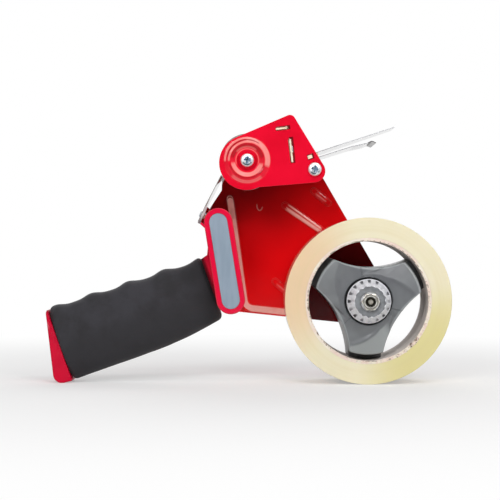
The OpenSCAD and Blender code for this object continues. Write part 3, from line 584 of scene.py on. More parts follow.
def make_grip():
    """Each end face closes in ten rings and bends in seven to the long wall, which has ninety steps."""
    flat = GRIP_THICKNESS / 2 - 1
    closing = [flat - (flat - GRIP_CORNER) * step / 9 for step in range(10)]
    bends = [(GRIP_CORNER * (1 - cos(turn)), GRIP_CORNER * (1 - sin(turn)))
             for turn in (pi / 2 * step / 8 for step in range(1, 8))]
    wall = GRIP_END - GRIP_START - 2 * GRIP_CORNER
    rings = [grip_ring(GRIP_START + 0.1, inset) for inset in closing]
    rings += [grip_ring(GRIP_START + along, inset) for along, inset in bends]
    rings += [grip_ring(GRIP_START + GRIP_CORNER + wall * step / 90, 0) for step in range(91)]
    rings += [grip_ring(GRIP_END - along, inset) for along, inset in reversed(bends)]
    rings += [grip_ring(GRIP_END - 0.1, inset) for inset in reversed(closing)]
    grip = piece("foam_sleeve", rings, material("eva_foam", foam), "frame", capped=True)
    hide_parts("foam_grip")


make_grip()


# ---- Applicator roller ----
# A rubber sleeve on a hard hub that turns between the head plates and presses the tape down.
# Natural rubber, ground to size: matt grey-green with a faint ground grain round it and dust on it.
# Its hub is moulded nylon, black but greyed by dust, with a dull even sheen.
RUBBER = "#8b908c"
RUBBER_DUSTY = "#9da19b"


def ground_rubber(tree):
    dusty = shade(tree, grain(tree, 7, 4, 0.6), 0.4, 0.65, RUBBER, RUBBER_DUSTY)
    ground = grain(tree, 0.5, 2, 0.5, (1.0, 6.0, 1.0))
    return add(tree, "BsdfPrincipled", dusty, Roughness=0.62, Specular_IOR_Level=0.4,
               Normal=relief(tree, 0.6, ground, 0.03))


def moulded_plastic(tree, colour, deep):
    """A smooth skin from the mould, with a faint cloud in its colour."""
    return add(tree, "BsdfPrincipled", shade(tree, grain(tree, 6, 3), 0.35, 0.65, deep, colour),
               Roughness=0.45, Specular_IOR_Level=0.45,
               Normal=relief(tree, 0.4, grain(tree, 0.5), 0.012))


dress("roller_sleeve", material("ground_rubber", ground_rubber))
dress("roller_core", material("black_nylon", moulded_plastic, "#4e5254", "#3f4345"))


# ---- Head screws, axle, spacer, washers and nuts ----
# Two M5 pan-head screws clamp the head plates on a steel tube each; the roller turns on one of the tubes.
# The heads are bright zinc plate, with a painted blue reflection and painted shade in their cross recesses.
SCREW_HEAD = "#f2f4f6"
RECESS_PAINTED_REFLECTION = "#93adca"
RIM_PAINTED_REFLECTION = "#4d5a62"
RECESS_PAINTED_SHADE = "#3d5566"
CORNER_AT = Vector((42.7, 0, 136.5))
PAN_TOP = -25.8


def screw_zinc(tree):
    x, y, z = add(tree, "SeparateXYZ", place(tree)).outputs
    flat = add(tree, "CombineXYZ", X=x, Z=z)
    away = [add(tree, "VectorMath DISTANCE", flat, at) for at in (ROLLER_AT, CORNER_AT)]
    nearest = add(tree, "Math MINIMUM", *away)
    top = add(tree, "MapRange", y, PAN_TOP + 5, PAN_TOP + 4)
    # Painted blue reflection round the middle of each head.
    blue_reflection = add(tree, "MapRange", nearest, 3.2, 1.6, 0, top)
    base = shade(tree, grain(tree, 1.3, 2), 0.4, 0.55, SCREW_HEAD, RECESS_PAINTED_REFLECTION, blue_reflection)
    # Painted dark reflection on the lower side of each head's rim.
    for at, near in zip((ROLLER_AT, CORNER_AT), away):
        below = add(tree, "MapRange", z, at.z - 0.6, at.z - 1.9, 0, top)
        below = add(tree, "MapRange", grain(tree, 2.4, 2), 0.32, 0.5, 0, below)
        rim = add(tree, "MapRange", near, 3.7, 3.2, 0, below)
        base = shade(tree, near, 2.2, 2.7, base, RIM_PAINTED_REFLECTION, rim)
    # Painted shade at the bottom of the cross recess.
    sunk = add(tree, "MapRange", y, PAN_TOP + 0.1, PAN_TOP + 0.3, 0, top)
    tone = shade(tree, grain(tree, 1.7, 1), 0.48, 0.6, RECESS_PAINTED_REFLECTION, RECESS_PAINTED_SHADE)
    return add(tree, "BsdfPrincipled", shade(tree, nearest, 2.7, 2.5, base, tone, sunk), Metallic=1.0,
               Roughness=0.3, Normal=relief(tree, 0.3, grain(tree, 0.6), 0.004))


dress("head_screws", material("bright_zinc", screw_zinc))
for name in ("roller_axle", "corner_spacer", "head_washers", "head_nuts"):
    dress(name, zinc)


# ---- Hub ----
# A three-armed hub moulded in one piece; its blades sweep round the boss and slope back outside an S-shaped
# crease, and the pads at their ends fill the core. Glossy grey ABS: smooth, with a slight ripple of the mould.
# Painted highlights lie on the blades' outer facets and pad rims; greasy painted shade fills the groove round the
# boss.
ABS_GREY = "#696c6f"
ABS_GREY_DEEP = "#606266"
ABS_PAINTED_HIGHLIGHT = "#b8bebe"
ABS_GREASE_AND_SHADE = "#17181b"
HUB_RADIUS = 37.95
HUB_WAIST = 21.4
HUB_ARM = 20.8
HUB_TURN = 28
HUB_BORE = 5.0
HUB_RIM = 1.2
WELL_RADIUS = 7.77
PAD_FRONT = 34.35
FACE = MID_DEPTH - 24
# Angle and radius along the crease of a blade, and along the step down to the next blade.
CREASE = [(-26, 32.0), (-14, 28.6), (5, 23.2), (12, 21.7), (24, 19.0), (54, 16.8), (80, 15.6), (94, 15.2)]
STEP_LINE = [(20, 44.0), (28, 27.6), (38, 22.0), (45, 19.8), (51, 18.5), (60, 17.4), (73, 16.6), (94, 15.9)]
# The groove round the boss: its inner and outer radius and its depth.
GROOVE = (12.3, 15.0, 2.2)
# Share of painted highlight on each arm's outer facet.
ARM_PAINTED_HIGHLIGHTS = (0.04, 0.14, 0.55)


def abs_grey(tree):
    """The hub's own attributes say where a painted highlight lies, and where greasy painted shade fills the groove.
    """
    base = shade(tree, grain(tree, 14, 2), 0.35, 0.65, ABS_GREY_DEEP, ABS_GREY)
    for name, colour in (("painted_highlight", ABS_PAINTED_HIGHLIGHT), ("grease_and_shade", ABS_GREASE_AND_SHADE)):
        there = add(tree, "Attribute", attribute_name=name).outputs["Fac"]
        base = add(tree, "Mix", there, base, colour)
    return add(tree, "BsdfPrincipled", base, Roughness=0.38, Coat_Weight=0.12, Coat_Roughness=0.12,
               Normal=add(tree, "Bump", Height=grain(tree, 5), Distance=0.05 * MM, Strength=0.8))


def along_line(line, turn):
    """The radius that a line of (angle, radius) pairs has at an angle."""
    if turn <= line[0][0]:
        return line[0][1]
    for (a, low), (b, high) in zip(line, line[1:]):
        if turn <= b:
            return low + (high - low) * (turn - a) / (b - a)
    return line[-1][1]


def hub_edge(turn, radius):
    """Radius of the hub's outline: a pad of the given radius at each arm, a scoop between the arms."""
    swept = abs((turn + 60) % 120 - 60)
    open_half = 60 - degrees(asin(HUB_ARM / 2 / HUB_RADIUS))
    scoop = (HUB_RADIUS ** 2 - HUB_WAIST ** 2) / (
        2 * (HUB_RADIUS * cos(radians(open_half)) - HUB_WAIST))
    away = radians(60 - swept)
    inside = (scoop - HUB_WAIST) ** 2 - (scoop * sin(away)) ** 2
    if inside <= 0:
        return radius
    return min(radius, scoop * cos(away) - sqrt(inside))


def blade_drop(turn, radius):
    """How far a blade's face lies behind its front plane, and how far over its step the point is (0 to 1)."""
    outside = radius - along_line(CREASE, turn)
    drop = 0.42 * max(0.0, outside) ** 0.92 * smooth_step(outside / 1.0)
    drop += 0.9 * smooth_step((radius - 15) / 8) * smooth_step(-outside / 4) * smooth_step((turn + 30) / 60 + 0.5)
    over = smooth_step((radius - along_line(STEP_LINE, turn)) / 1.5)
    return drop, over * smooth_step((100 - turn) / 55) * smooth_step((turn - 24) / 8)


def hub_face(turn, radius):
    """Drop of the whole face: each point belongs to one blade, and lies lower beyond the next blade's edge."""
    if radius < GROOVE[1] + 0.3:
        wall = smooth_step((GROOVE[1] - radius) / 0.35 + 0.5) * smooth_step((radius - GROOVE[0]) / 0.35 + 0.5)
        return GROOVE[2] * wall
    local = (turn + 45) % 120 - 45
    drop, over = blade_drop(local, radius)
    ahead, _ = blade_drop(local - 120, radius)
    share = smooth_step((local - 40) / 34)
    low = ahead + 0.6
    return drop * (1 - share) + low * share * 0.9 + over * 1.5 * (1 - share * 0.5)


def hub_point(turn, radius, y):
    """The point at a turn in degrees, a radius and a depth, round the roll's axis."""
    return leaning(ROLL_AT, radians(turn), radius, 0, y)


def hub_rings():
    """Rings from the bore out over the face, round the rim, back along the pads and in again behind."""
    turns = []
    half_pad = degrees(asin(HUB_ARM / 2 / HUB_RADIUS))
    for arm in range(3):
        middle = HUB_TURN + 120 * arm
        turns += [middle - half_pad + 2 * half_pad * k / 22 for k in range(22)]
        turns += [middle + half_pad + (120 - 2 * half_pad) * k / 66 for k in range(66)]
    edges = [hub_edge(turn - HUB_TURN, PAD_FRONT) for turn in turns]
    rings = [[hub_point(turn, HUB_BORE, FACE + 0.2) for turn in turns],
             [hub_point(turn, HUB_BORE + 0.3, FACE) for turn in turns]]
    for part in (step / 46 for step in range(1, 47)):
        ring = []
        for turn, edge in zip(turns, edges):
            radius = HUB_BORE + 0.3 + (edge - HUB_RIM - HUB_BORE - 0.3) * part
            ring.append(hub_point(turn, radius, FACE + hub_face(turn - HUB_TURN, radius)))
        rings.append(ring)
    for bend in (pi / 2 * step / 6 for step in range(1, 7)):
        rings.append([hub_point(turn, edge - HUB_RIM + HUB_RIM * sin(bend),
                                FACE + hub_face(turn - HUB_TURN, edge - HUB_RIM) + HUB_RIM * (1 - cos(bend)))
                      for turn, edge in zip(turns, edges)])
    for back, limit in ((-10, PAD_FRONT), (-6, HUB_RADIUS), (-5.4, HUB_RADIUS), (23.8, HUB_RADIUS),
                        (24.15, HUB_RADIUS + 0.2), (24.2, HUB_RADIUS + 3.15), (25.1, HUB_RADIUS + 3.15),
                        (25.4, HUB_RADIUS + 2.8)):
        rings.append([hub_point(turn, hub_edge(turn - HUB_TURN, limit), MID_DEPTH + back) for turn in turns])
    for radius, back in ((WELL_RADIUS + 6, 25.4), (WELL_RADIUS + 0.3, 25.4), (WELL_RADIUS, 25.1),
                         (WELL_RADIUS, 15.3), (WELL_RADIUS - 0.4, 15.2), (HUB_BORE, 15.2)):
        rings.append([hub_point(turn, radius, MID_DEPTH + back) for turn in turns])
    return rings + [rings[0]]


def make_hub():
    hub = piece("three_armed_hub", hub_rings(), material("grey_abs", abs_grey), "hub")
    hub.data.set_sharp_from_angle(angle=radians(50))
    for name in ("painted_highlight", "grease_and_shade"):
        hub.data.attributes.new(name, "FLOAT", "POINT")
    painted_highlight, grease_and_shade = (hub.data.attributes[name].data for name in ("painted_highlight", "grease_and_shade"))
    for k, vertex in enumerate(hub.data.vertices):
        at = vertex.co / MM - ROLL_AT
        turn, radius = degrees(atan2(at.z, at.x)), hypot(at.x, at.z)
        if at.y > FACE + 9:
            continue
        share = min(((abs((turn - HUB_TURN - 120 * arm + 180) % 360 - 180), share)
                     for arm, share in enumerate(ARM_PAINTED_HIGHLIGHTS)), key=lambda pair: pair[0])[1]
        local = (turn - HUB_TURN + 60) % 120 - 60
        outside = radius - along_line(CREASE, local)
        edge = hub_edge(turn - HUB_TURN, PAD_FRONT)
        # Painted highlight along the rim of each pad.
        rim = 0.42 * smooth_step((radius - edge + 1.9) / 0.7) * smooth_step((FACE + 6 - at.y) / 2)
        outer = smooth_step(outside / 1.2) * smooth_step((48 - local) / 20)
        painted_highlight[k].value = max(rim, share * (0.2 + 0.8 * outer))
        # Greasy painted shade in the groove round the boss.
        grease_and_shade[k].value = smooth_step((radius - GROOVE[0]) / 0.4) * smooth_step((GROOVE[1] + 0.2 - radius) / 0.4)
    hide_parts("hub")


make_hub()


# ---- Hub bush ----
# A plain sleeve, moulded and pressed into the hub, which turns on the spindle.
# Acetal, left its natural cream: smooth and waxy, with a faint cloud in the colour.
dress("hub_bush", material("cream_acetal", moulded_plastic, "#dcd6c6", "#cfc8b4"))


# ---- Cardboard core ----
# Layers of kraft paper wound and glued into a tube, then cut square with the tape on it.
# Kraft board: matt grey-brown with a fibre grain along the winding; its cut end shows pale plies and burrs.
KRAFT = "#efe5df"
KRAFT_DARK = "#e2d8d1"
PLY_PALE = "#efe6d6"
PLY_PINK = "#ead3c6"
PLY_BROWN = "#5f4638"
CORE_BORE = 38.1
TAPE_HALF = 24
PLY = 0.55


def roll_place(tree):
    """Distance from the roll's axis, turn round it as a unit vector, and depth, all from the piece's own place."""
    x, depth, z = add(tree, "SeparateXYZ", place(tree, ROLL_AT)).outputs
    flat = add(tree, "CombineXYZ", X=x, Z=z)
    return add(tree, "VectorMath LENGTH", flat), add(tree, "VectorMath NORMALIZE", flat), depth


def kraft_board(tree):
    """Plies all round the cut end, drawn across a radius that wanders; fibres on the wall of the bore."""
    away, round_it, depth = roll_place(tree)
    radius = add(tree, "Math MULTIPLY_ADD", add(tree, "TexNoise", round_it, 6.0, 3), 1.1, away)
    plies = add(tree, "CombineXYZ", add(tree, "Math MULTIPLY", radius, 1 / PLY))
    stripes = add(tree, "TexNoise", plies, 1.0, 1)
    cut = shade(tree, add(tree, "TexNoise", round_it, 3.0, 4, 0.6), 0.4, 0.6, PLY_PALE, PLY_PINK)
    burr = add(tree, "MapRange", add(tree, "TexNoise", round_it, 9.0, 3), 0.45, 0.6)
    cut = shade(tree, stripes, 0.58, 0.66, cut, PLY_BROWN, burr)
    wound = add(tree, "VectorMath MULTIPLY_ADD", round_it, (50, 50, 50), add(tree, "CombineXYZ", depth))
    wall = shade(tree, add(tree, "TexNoise", wound, 0.09, 4, 0.6), 0.35, 0.65, KRAFT_DARK, KRAFT)
    end = MID_DEPTH - TAPE_HALF
    inner = add(tree, "MapRange", depth, end + 0.2, end + 0.5)
    base = shade(tree, away, CORE_BORE + 0.12, CORE_BORE + 0.02, cut, wall, inner)
    return add(tree, "BsdfPrincipled", base, Roughness=0.8, Specular_IOR_Level=0.25,
               Normal=add(tree, "Bump", Height=stripes, Distance=0.12 * MM, Strength=0.7))


def torn_ply(tree):
    """Paper torn by the knife: matt and fibrous, pale, with sooty specks and a brown inner lip."""
    away, round_it, _ = roll_place(tree)
    base = shade(tree, add(tree, "TexNoise", round_it, 4.0, 4, 0.6), 0.4, 0.6, PLY_PALE, PLY_PINK)
    sooty = add(tree, "MapRange", add(tree, "TexNoise", round_it, 2.6, 3), 0.42, 0.58, 0.1, 1)
    base = shade(tree, grain(tree, 1.3, 3, 0.7), 0.47, 0.57, base, PLY_BROWN, sooty)
    lip = add(tree, "MapRange", add(tree, "TexNoise", round_it, 5.0, 4, 0.7), 0.42, 0.55, 0.15, 0.9)
    base = shade(tree, away, CORE_BORE + 0.75, CORE_BORE + 0.3, base, PLY_BROWN, lip)
    return add(tree, "BsdfPrincipled", base, Roughness=0.7, Specular_IOR_Level=0.3)


def make_burr():
    """The knife that cut the roll to width leaves a frayed, uneven ring of ply ends round the core."""
    rings = []
    for part in (side / 8 for side in range(9)):
        ring = []
        for turn in (360 * k / 420 for k in range(420)):
            seat = Vector((cos(radians(turn)), sin(radians(turn)), 0)) * 9
            low_side = smooth_step(cos(radians(turn + 42)) * 1.6 - 0.5)
            wide = 1.1 + 1.9 * low_side + 0.6 * noise.noise(seat * 0.35) + 0.5 * noise.noise(seat * 1.7)
            inner = CORE_BORE - 0.1 - 0.35 * max(0.0, noise.noise(seat * 2.3 + Vector((5, 0, 0))))
            rise = 0.25 + 0.45 * max(0.0, noise.noise(seat * 1.3 + Vector((0, 7, 0)))) + 0.2 * noise.noise(seat * 4)
            hump = sin(pi * min(1.0, part * 1.25)) ** 0.6 if part < 0.8 else 0.0
            ring.append(hub_point(turn, inner + (wide + 0.4) * part,
                                  MID_DEPTH - TAPE_HALF + 0.25 - max(0.1, rise) * hump))
        rings.append(ring)
    piece("frayed_core_end", rings, material("torn_ply", torn_ply), "roll")


dress("tape_core", material("kraft_board", kraft_board))
make_burr()


# ---- Wound tape ----
# About a hundred metres of packing tape wound on the core: clear film over a cream acrylic adhesive.
# Wound BOPP film: the sides show fine rings and go yellow-green with age; the outside is glossy.
# The peach tone on the left of the sides is a painted reflection of the red plate.
TAPE_CREAM = "#ece4c6"
TAPE_PAINTED_PEACH_REFLECTION = "#e9cba6"
TAPE_GREEN = "#ded494"
TAPE_DARK = "#d9cb96"
TAPE_OUTSIDE = "#ead4b0"
TAPE_SILVERED = "#f3e6cc"
# The film is about 0.04 mm thick, too fine to show; its rings are drawn this coarse.
WIND = 0.32
ROLL_RADIUS = 53


def wound_film(tree):
    away, round_it, depth = roll_place(tree)
    # Painted reflection of the red plate: peach towards the left.
    towards = add(tree, "VectorMath DOT_PRODUCT", round_it, (-0.95, 0, 0.3))
    base = shade(tree, towards, 0.4, 1.0, TAPE_CREAM, TAPE_PAINTED_PEACH_REFLECTION)
    yellow = add(tree, "VectorMath DOT_PRODUCT", round_it, (0.74, 0, -0.67))
    base = shade(tree, yellow, 0.5, 1.0, base, TAPE_GREEN, 0.95)
    line = add(tree, "CombineXYZ", add(tree, "Math MULTIPLY", away, 1 / WIND))
    wound = add(tree, "TexNoise", line, 1.0, 3, 0.6)
    cloud = add(tree, "Math MULTIPLY", add(tree, "TexNoise", round_it, 2.2, 3), 0.35)
    base = shade(tree, add(tree, "TexNoise", line, 0.08, 2), 0.35, 0.65, base, TAPE_DARK, cloud)
    base = shade(tree, wound, 0.55, 0.75, base, TAPE_DARK, 0.22)
    pulled = add(tree, "VectorMath MULTIPLY_ADD", round_it, (3, 3, 3), add(tree, "CombineXYZ", depth))
    silvered = shade(tree, add(tree, "TexNoise", pulled, 0.26, 3, 0.6), 0.4, 0.7, TAPE_OUTSIDE, TAPE_SILVERED, 0.6)
    outside = add(tree, "MapRange", away, ROLL_RADIUS - 0.08, ROLL_RADIUS - 0.02)
    return add(tree, "BsdfPrincipled", add(tree, "Mix", outside, base, silvered),
               Roughness=add(tree, "MapRange", outside, 0.0, 1.0, 0.38, 0.12),
               Coat_Weight=0.2, Coat_Roughness=0.2, Subsurface_Weight=0.15,
               Subsurface_Radius=(0.004, 0.003, 0.0015), Subsurface_Scale=1.0,
               Normal=relief(tree, 0.5, wound, 0.05))


dress("tape_winding", material("wound_film", wound_film))


# ---- Spindle and brake ----
# An M6 spindle, clamped to the side plate, carries the hub; a washer, a coil spring and its seat brake it.
# The spindle and nuts are turned steel with zinc on them; the spring is drawn wire, darker and oily.
SPRING_WIRE = "#8d9196"
SPINDLE_TIP = "#c9c4ba"
SPINDLE_PAINTED_SHADE = "#2c2923"
SHADED_TO = MID_DEPTH - 30
THREAD_PITCH = 1.0
SPRING_RADIUS = 6
SPRING_WIRE_RADIUS = 0.6
SPRING_TURNS = 4
SPRING_BACK_Y = MID_DEPTH - 25.75
SPRING_FRONT_Y = MID_DEPTH - 32.75


def drawn_wire(tree):
    return add(tree, "BsdfPrincipled", shade(tree, grain(tree, 3, 3), 0.35, 0.65, "#767b81", SPRING_WIRE),
               Metallic=1.0, Roughness=0.35)


def turned_steel(tree):
    """Fine turning rings on the end of the spindle; painted shade darkens the thread round it inside the knob's nut.
    """
    away, _, depth = roll_place(tree)
    tip = shade(tree, grain(tree, 1.4, 2), 0.35, 0.65, "#a8a196", SPINDLE_TIP)
    # Painted shade on the thread inside the nut.
    shaded = add(tree, "MapRange", depth, SHADED_TO + 1, SHADED_TO - 1)
    thread = add(tree, "Math SINE", add(tree, "Math MULTIPLY", depth, tau / THREAD_PITCH))
    return add(tree, "BsdfPrincipled", shade(tree, away, 1.2, 1.8, tip, SPINDLE_PAINTED_SHADE, shaded), Metallic=1.0,
               Roughness=0.3, Normal=add(tree, "Bump", Height=thread, Distance=0.15 * MM, Strength=0.6))


def make_spring():
    """Four turns of wire between the brake washer and the seat."""
    steps = SPRING_TURNS * 24
    rings = []
    for part in (step / steps for step in range(steps + 1)):
        middle = SPRING_BACK_Y + (SPRING_FRONT_Y - SPRING_BACK_Y) * part
        rings.append([hub_point(360 * SPRING_TURNS * part, SPRING_RADIUS + SPRING_WIRE_RADIUS * cos(angle),
                                middle - SPRING_WIRE_RADIUS * sin(angle))
                      for angle in (tau * side / 10 for side in range(10))])
    made = piece("wire_spring", rings, material("drawn_wire", drawn_wire), None, capped=True)
    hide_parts("brake_spring")
    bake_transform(made)


dress("spindle", material("turned_steel", turned_steel))
make_spring()
for name in ("spindle_washer", "spindle_nut", "brake_washer", "spring_seat"):
    dress(name, zinc)


# ---- Brake knob ----
# A fluted knob moulded round a steel nut; screwing it in presses the spring and brakes the hub.
# Pale grey polypropylene: waxy and scuffed; the front is a greyer disc, and painted shade darkens the flutes.
KNOB_PALE = "#eeeff4"
KNOB_SCUFFED = "#dadbe2"
KNOB_FACE = "#85888c"
KNOB_FACE_DEEP = "#6d7074"
KNOB_FLUTE_SHADE = "#3c3c42"
KNOB_BASE_R = 14.1
KNOB_FRONT_R = 10.2
KNOB_BASE_Y = MID_DEPTH - 26
KNOB_FRONT_Y = MID_DEPTH - 39
FLUTES = 16
FLUTE_WIDTH = 0.3
FLUTE_DEPTH = 0.9
NUT_POCKET = 5.95
BORE_R = 3.5


def knob_polypropylene(tree):
    away, round_it, depth = roll_place(tree)
    side = shade(tree, grain(tree, 2.6, 4, 0.6), 0.42, 0.66, KNOB_PALE, KNOB_SCUFFED)
    x, _, z = add(tree, "SeparateXYZ", round_it).outputs
    scallop = add(tree, "Math SINE", add(tree, "Math MULTIPLY", add(tree, "Math ARCTAN2", z, x), FLUTES))
    scallop = add(tree, "MapRange", add(tree, "TexNoise", round_it, 1.7, 3), 0.35, 0.6, 0, scallop)
    rubbed_to = add(tree, "Math MULTIPLY_ADD", scallop, 0.45, away)
    within = add(tree, "MapRange", rubbed_to, KNOB_FRONT_R - 0.3, KNOB_FRONT_R - 0.7)
    disc = shade(tree, grain(tree, 5, 3), 0.35, 0.65, KNOB_FACE_DEEP, KNOB_FACE)
    base = shade(tree, depth, KNOB_FRONT_Y + 0.9, KNOB_FRONT_Y + 0.5, side, disc, within)
    slope = (KNOB_BASE_R - KNOB_FRONT_R) / (KNOB_BASE_Y - KNOB_FRONT_Y - 2.5)
    forward = add(tree, "Math SUBTRACT", KNOB_BASE_Y - 2, depth)
    rib = add(tree, "Math MULTIPLY_ADD", forward, -slope, KNOB_BASE_R - 0.35)
    # Painted shade in the bottoms of the flutes near the foot.
    low = add(tree, "MapRange", add(tree, "TexNoise", round_it, 2.4, 2), 0.36, 0.56, 0.25, 1)
    low = add(tree, "MapRange", depth, KNOB_BASE_Y - 8.5, KNOB_BASE_Y - 3.5, 0, low)
    low = add(tree, "Math MULTIPLY", low, add(tree, "Math GREATER_THAN", away, KNOB_FRONT_R - 0.9))
    base = shade(tree, add(tree, "Math SUBTRACT", rib, away), 0, 0.35, base, KNOB_FLUTE_SHADE, low)
    return add(tree, "BsdfPrincipled", base, Roughness=0.42,
               Normal=relief(tree, 0.25, grain(tree, 0.7, 3), 0.03))


def flute(turn):
    """1 in the middle of a flute and 0 on the ribs between them."""
    away = abs(((turn * FLUTES / 360) % 1) - 0.5) * 2
    return smooth_step((away - (1 - 2 * FLUTE_WIDTH)) / (2 * FLUTE_WIDTH) * 1.15)


def make_knob():
    """Rings of a profile of radius, depth and share of a flute's depth: foot, side, front, nut pocket, inside."""
    side_top = (KNOB_FRONT_R + 0.3 - KNOB_BASE_R, KNOB_FRONT_Y + 0.6 - KNOB_BASE_Y + 2.1)
    profile = [(12.7, KNOB_BASE_Y, 0)]
    profile += [(KNOB_BASE_R - less, KNOB_BASE_Y - ahead, deep) for less, ahead, deep in (
        (0.5, 0, 0), (0.1, 0.25, 0), (0, 0.7, 0), (0, 1.5, 0), (0.15, 1.9, 0.2))]
    profile += [(KNOB_BASE_R - 0.3 + side_top[0] * part, KNOB_BASE_Y - 2.1 + side_top[1] * part, 1.0 - 0.45 * part)
                for part in (row / 12 for row in range(13))]
    profile += [(KNOB_FRONT_R - less, KNOB_FRONT_Y + back, deep) for less, back, deep in (
        (0.15, 0.2, 0.5), (0.5, 0, 0.45), (0.9, 0, 0.35), (1.1, 0.25, 0.2), (1.4, 0.35, 0))]
    profile += [(radius, KNOB_FRONT_Y + back, 0) for radius, back in (
        (NUT_POCKET + 0.6, 0.35), (NUT_POCKET + 0.2, 0.45), (NUT_POCKET, 0.8), (NUT_POCKET, 1.95), (BORE_R, 1.95),
        (BORE_R, 4.4), (8.7, 4.5), (8.75, 12), (12.6, 12), (12.7, 13))]
    turns = [360 * k / (FLUTES * 16) for k in range(FLUTES * 16)]
    rings = [[hub_point(turn, radius - FLUTE_DEPTH * deep * flute(turn), y) for turn in turns]
             for radius, y, deep in profile]
    knob = piece("brake_knob", rings, material("pale_polypropylene", knob_polypropylene), "knob")
    knob.data.set_sharp_from_angle(angle=radians(40))
    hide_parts("tension_knob")


make_knob()


# ---- Knob nut ----
# A hexagon nut with a washer face, moulded into the knob. Nickel plate: warmer and brighter than zinc.
NICKEL = "#fffdf4"
NICKEL_DEEP = "#c9c5bd"
NICKEL_SHADE = "#85827c"
NICKEL_BORE_SHADE = "#2a2721"


def nickel_plate(tree):
    """Painted shade on the flats round the thread and in the bore, and a painted highlight on the edges."""
    away, _, _ = roll_place(tree)
    base = shade(tree, grain(tree, 2.5, 3), 0.35, 0.65, NICKEL_DEEP, NICKEL)
    flats = add(tree, "MapRange", away, 5.0, 4.7, 0, 0.7)
    base = shade(tree, away, 3.9, 4.2, base, NICKEL_SHADE, flats)
    # Painted shade in the bore.
    base = shade(tree, away, 3.4, 3.15, base, NICKEL_BORE_SHADE)
    return add(tree, "BsdfPrincipled", painted_edge(tree, 0.3, base, NICKEL), Metallic=1.0, Roughness=0.2,
               Normal=relief(tree, 0.4, grain(tree, 0.5), 0.006))


dress("knob_nut", material("nickel_plate", nickel_plate))


# ---- Blade, holder, leaf bar and rivets ----
# A toothed blade riveted to an angle, and a bar for the leaves; their tabs stand in slots of both head plates.
# Brushed spring steel for the blade; the holder and the bar are zinc plated, with a yellow passivated film.
EDGE_PAINTED_SHADE = "#5e4432"
# Brushing scratches are under 0.05 mm wide, too fine to show; they are drawn this coarse.
SCRATCH = 0.35


def brushed_steel(tree, bright, dark, stretch, metal):
    """Scratches along the stretched direction, over stains that stay darker."""
    brush = grain(tree, SCRATCH, 3, 0.6, stretch)
    stains = add(tree, "MapRange", grain(tree, 12, 3), 0.4, 0.7)
    clean = shade(tree, add(tree, "Math MULTIPLY_ADD", brush, 0.6, stains), 0.3, 1.1, bright, dark)
    # Painted shade along the edges, as in the gaps round the tabs.
    return add(tree, "BsdfPrincipled", painted_edge(tree, 0.35, clean, EDGE_PAINTED_SHADE, 0.8), Metallic=metal, Roughness=0.45,
               Normal=relief(tree, 0.15, brush, 0.002))


passivated = material("passivated_zinc", brushed_steel, "#f2dfc2", "#d8bf98", (1.0, 20.0, 1.0), 0.4)
dress("cutting_blade", material("brushed_blade_steel", brushed_steel, "#fff4de", "#eadcc2", (1.0, 1.0, 20.0), 0.2))
for name, look in (("blade_holder", passivated), ("leaf_bar", passivated), ("blade_rivets", zinc),
                   ("leaf_rivets", zinc), ("flap_rivets", zinc)):
    dress(name, look)


# ---- Wiping leaves ----
# Two leaves of half-hard spring steel, riveted above and below the bar; they bend and wipe the tape down.
# Cold-rolled steel: bright, with a fine grain along the strip; the sheared edges are darker.
LEAF_STEEL = "#fdfdfd"
LEAF_DARK = "#e6e6e8"
LEAF_EDGE = "#d0d0d4"
LEAF_TIP_SHADE = "#4f4b46"
LEAF_AT = Vector((39.7, 0, 144.3))
LEAF_SLOPE = radians(18)
SHEET = 0.5
BAR_HALF = 1.3
LEAF_ROOT = BAR_HALF + SHEET / 2


def leaf_point(along, out, y):
    """Along runs out from the bar to the tips; out is across it, upwards."""
    return leaning(LEAF_AT, LEAF_SLOPE, along, out, MID_DEPTH + y)


def rolled_steel(tree, edge_colour):
    """Bright faces with a faint grain along the strip; the sheared side edges are grey and dull; the tip has painted
    shade.
    """
    side = add(tree, "SeparateXYZ", add(tree, "NewGeometry").outputs["Normal"]).outputs["Y"]
    side = add(tree, "Math ABSOLUTE", side)
    base = shade(tree, grain(tree, 14, 2, 0.5, (3.0, 1.0, 3.0)), 0.45, 0.7, LEAF_STEEL, LEAF_DARK, 0.4)
    base = shade(tree, side, 0.6, 0.8, base, edge_colour)
    flat = add(tree, "VectorMath MULTIPLY", place(tree), (1, 0, 1))
    # Painted shade on the curled tip of the lower leaf.
    from_tip = add(tree, "VectorMath DISTANCE", flat, leaf_point(41.5, -BAR_HALF - 1.6, -MID_DEPTH))
    base = shade(tree, from_tip, 3.6, 2.6, base, LEAF_TIP_SHADE, 0.85)
    return add(tree, "BsdfPrincipled", base, Roughness=0.05,
               Metallic=add(tree, "MapRange", side, 0.6, 0.8, 0.9, 0.3))


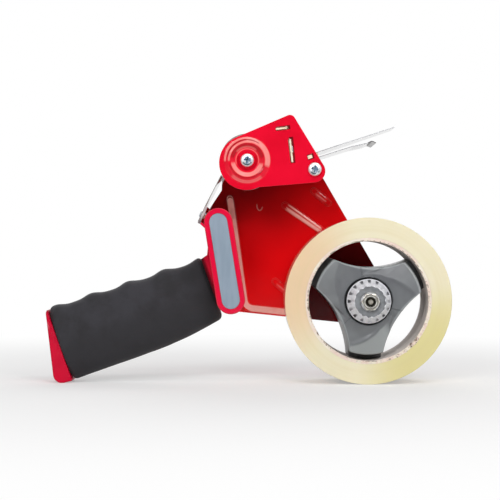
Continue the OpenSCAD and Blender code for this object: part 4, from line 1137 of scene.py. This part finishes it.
def make_strip(name, corners, bend, width_at, point_at, look, stands_for, flexes):
    """A strip of sheet along a line of corners bent to a radius, with stations a step apart."""
    line = [(point.x, point.z) for point in ridge_path([Vector((x, 0, z)) for x, z in corners], *bend)]
    rings = []
    for i, (along, out) in enumerate(line):
        before, after = line[max(i - 1, 0)], line[min(i + 1, len(line) - 1)]
        slope = atan2(after[1] - before[1], after[0] - before[0])
        normal = (-sin(slope) * SHEET / 2, cos(slope) * SHEET / 2)
        half_width = width_at(along) / 2
        rings.append([point_at(along + normal[0] * face, out + normal[1] * face, half_width * (k / 6 - 1) * face)
                      for face in (1, -1) for k in range(13)])
    made = piece(name, rings, look, None, capped=True)
    made.data.set_sharp_from_angle(angle=radians(50))
    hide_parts(stands_for)
    start, end = (tuple(point_at(*point, 0) * MM) for point in flexes)
    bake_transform(made)


leaf_steel = material("cold_rolled_leaf_steel", rolled_steel, LEAF_EDGE)
make_strip("wiping_leaf_upper",
           [(-3.5, LEAF_ROOT), (5.5, LEAF_ROOT), (58.5, LEAF_ROOT + 0.4), (60, LEAF_ROOT + 1.5)], (0.7, 1.2),
           lambda along: 46 - 20 * max(0, along - 20) / 44, leaf_point, leaf_steel,
           "wiper_leaf", ((4.5, LEAF_ROOT), (52, LEAF_ROOT)))
make_strip("wiping_leaf_lower",
           [(-3.5, -LEAF_ROOT), (5.5, -LEAF_ROOT), (28, -LEAF_ROOT - 0.2), (37.4, -LEAF_ROOT - 1.2),
            (40.8, -LEAF_ROOT - 0.7), (43, -LEAF_ROOT - 2.7)], (0.9, 0.8),
           lambda along: 44, leaf_point, leaf_steel,
           "helper_leaf", ((4.5, -LEAF_ROOT), (38, -LEAF_ROOT)))


# ---- Tape flap ----
# A thin spring flap riveted to the lip; it guides the tape on to the roller and stops it running back.
# The same leaf steel, thinner and polished by the tape, with its free edge turned over a little.
FLAP_EDGE = "#b5b1ac"
LIP_LENGTH = 11.4
LIP_LEAN = radians(25)
LIP_FOOT = flange_point(-9.1 - 3.6, 48.2 + 3.6)
FLAP_MIDDLE = -0.3


def flap_point(along, out, y):
    """Along runs up the lip; out is across it, towards the roll."""
    return leaning(LIP_FOOT, pi / 2 - LIP_LEAN, along, -out, MID_DEPTH + y)


make_strip("tape_guide_flap",
           [(0.4, FLAP_MIDDLE), (LIP_LENGTH + 0.6, FLAP_MIDDLE), (33.4, FLAP_MIDDLE + 0.9)], (2.0, 0.9),
           lambda along: 44, flap_point, material("polished_flap_steel", rolled_steel, FLAP_EDGE),
           "tape_flap", ((LIP_LENGTH - 1, FLAP_MIDDLE), (28, FLAP_MIDDLE)))
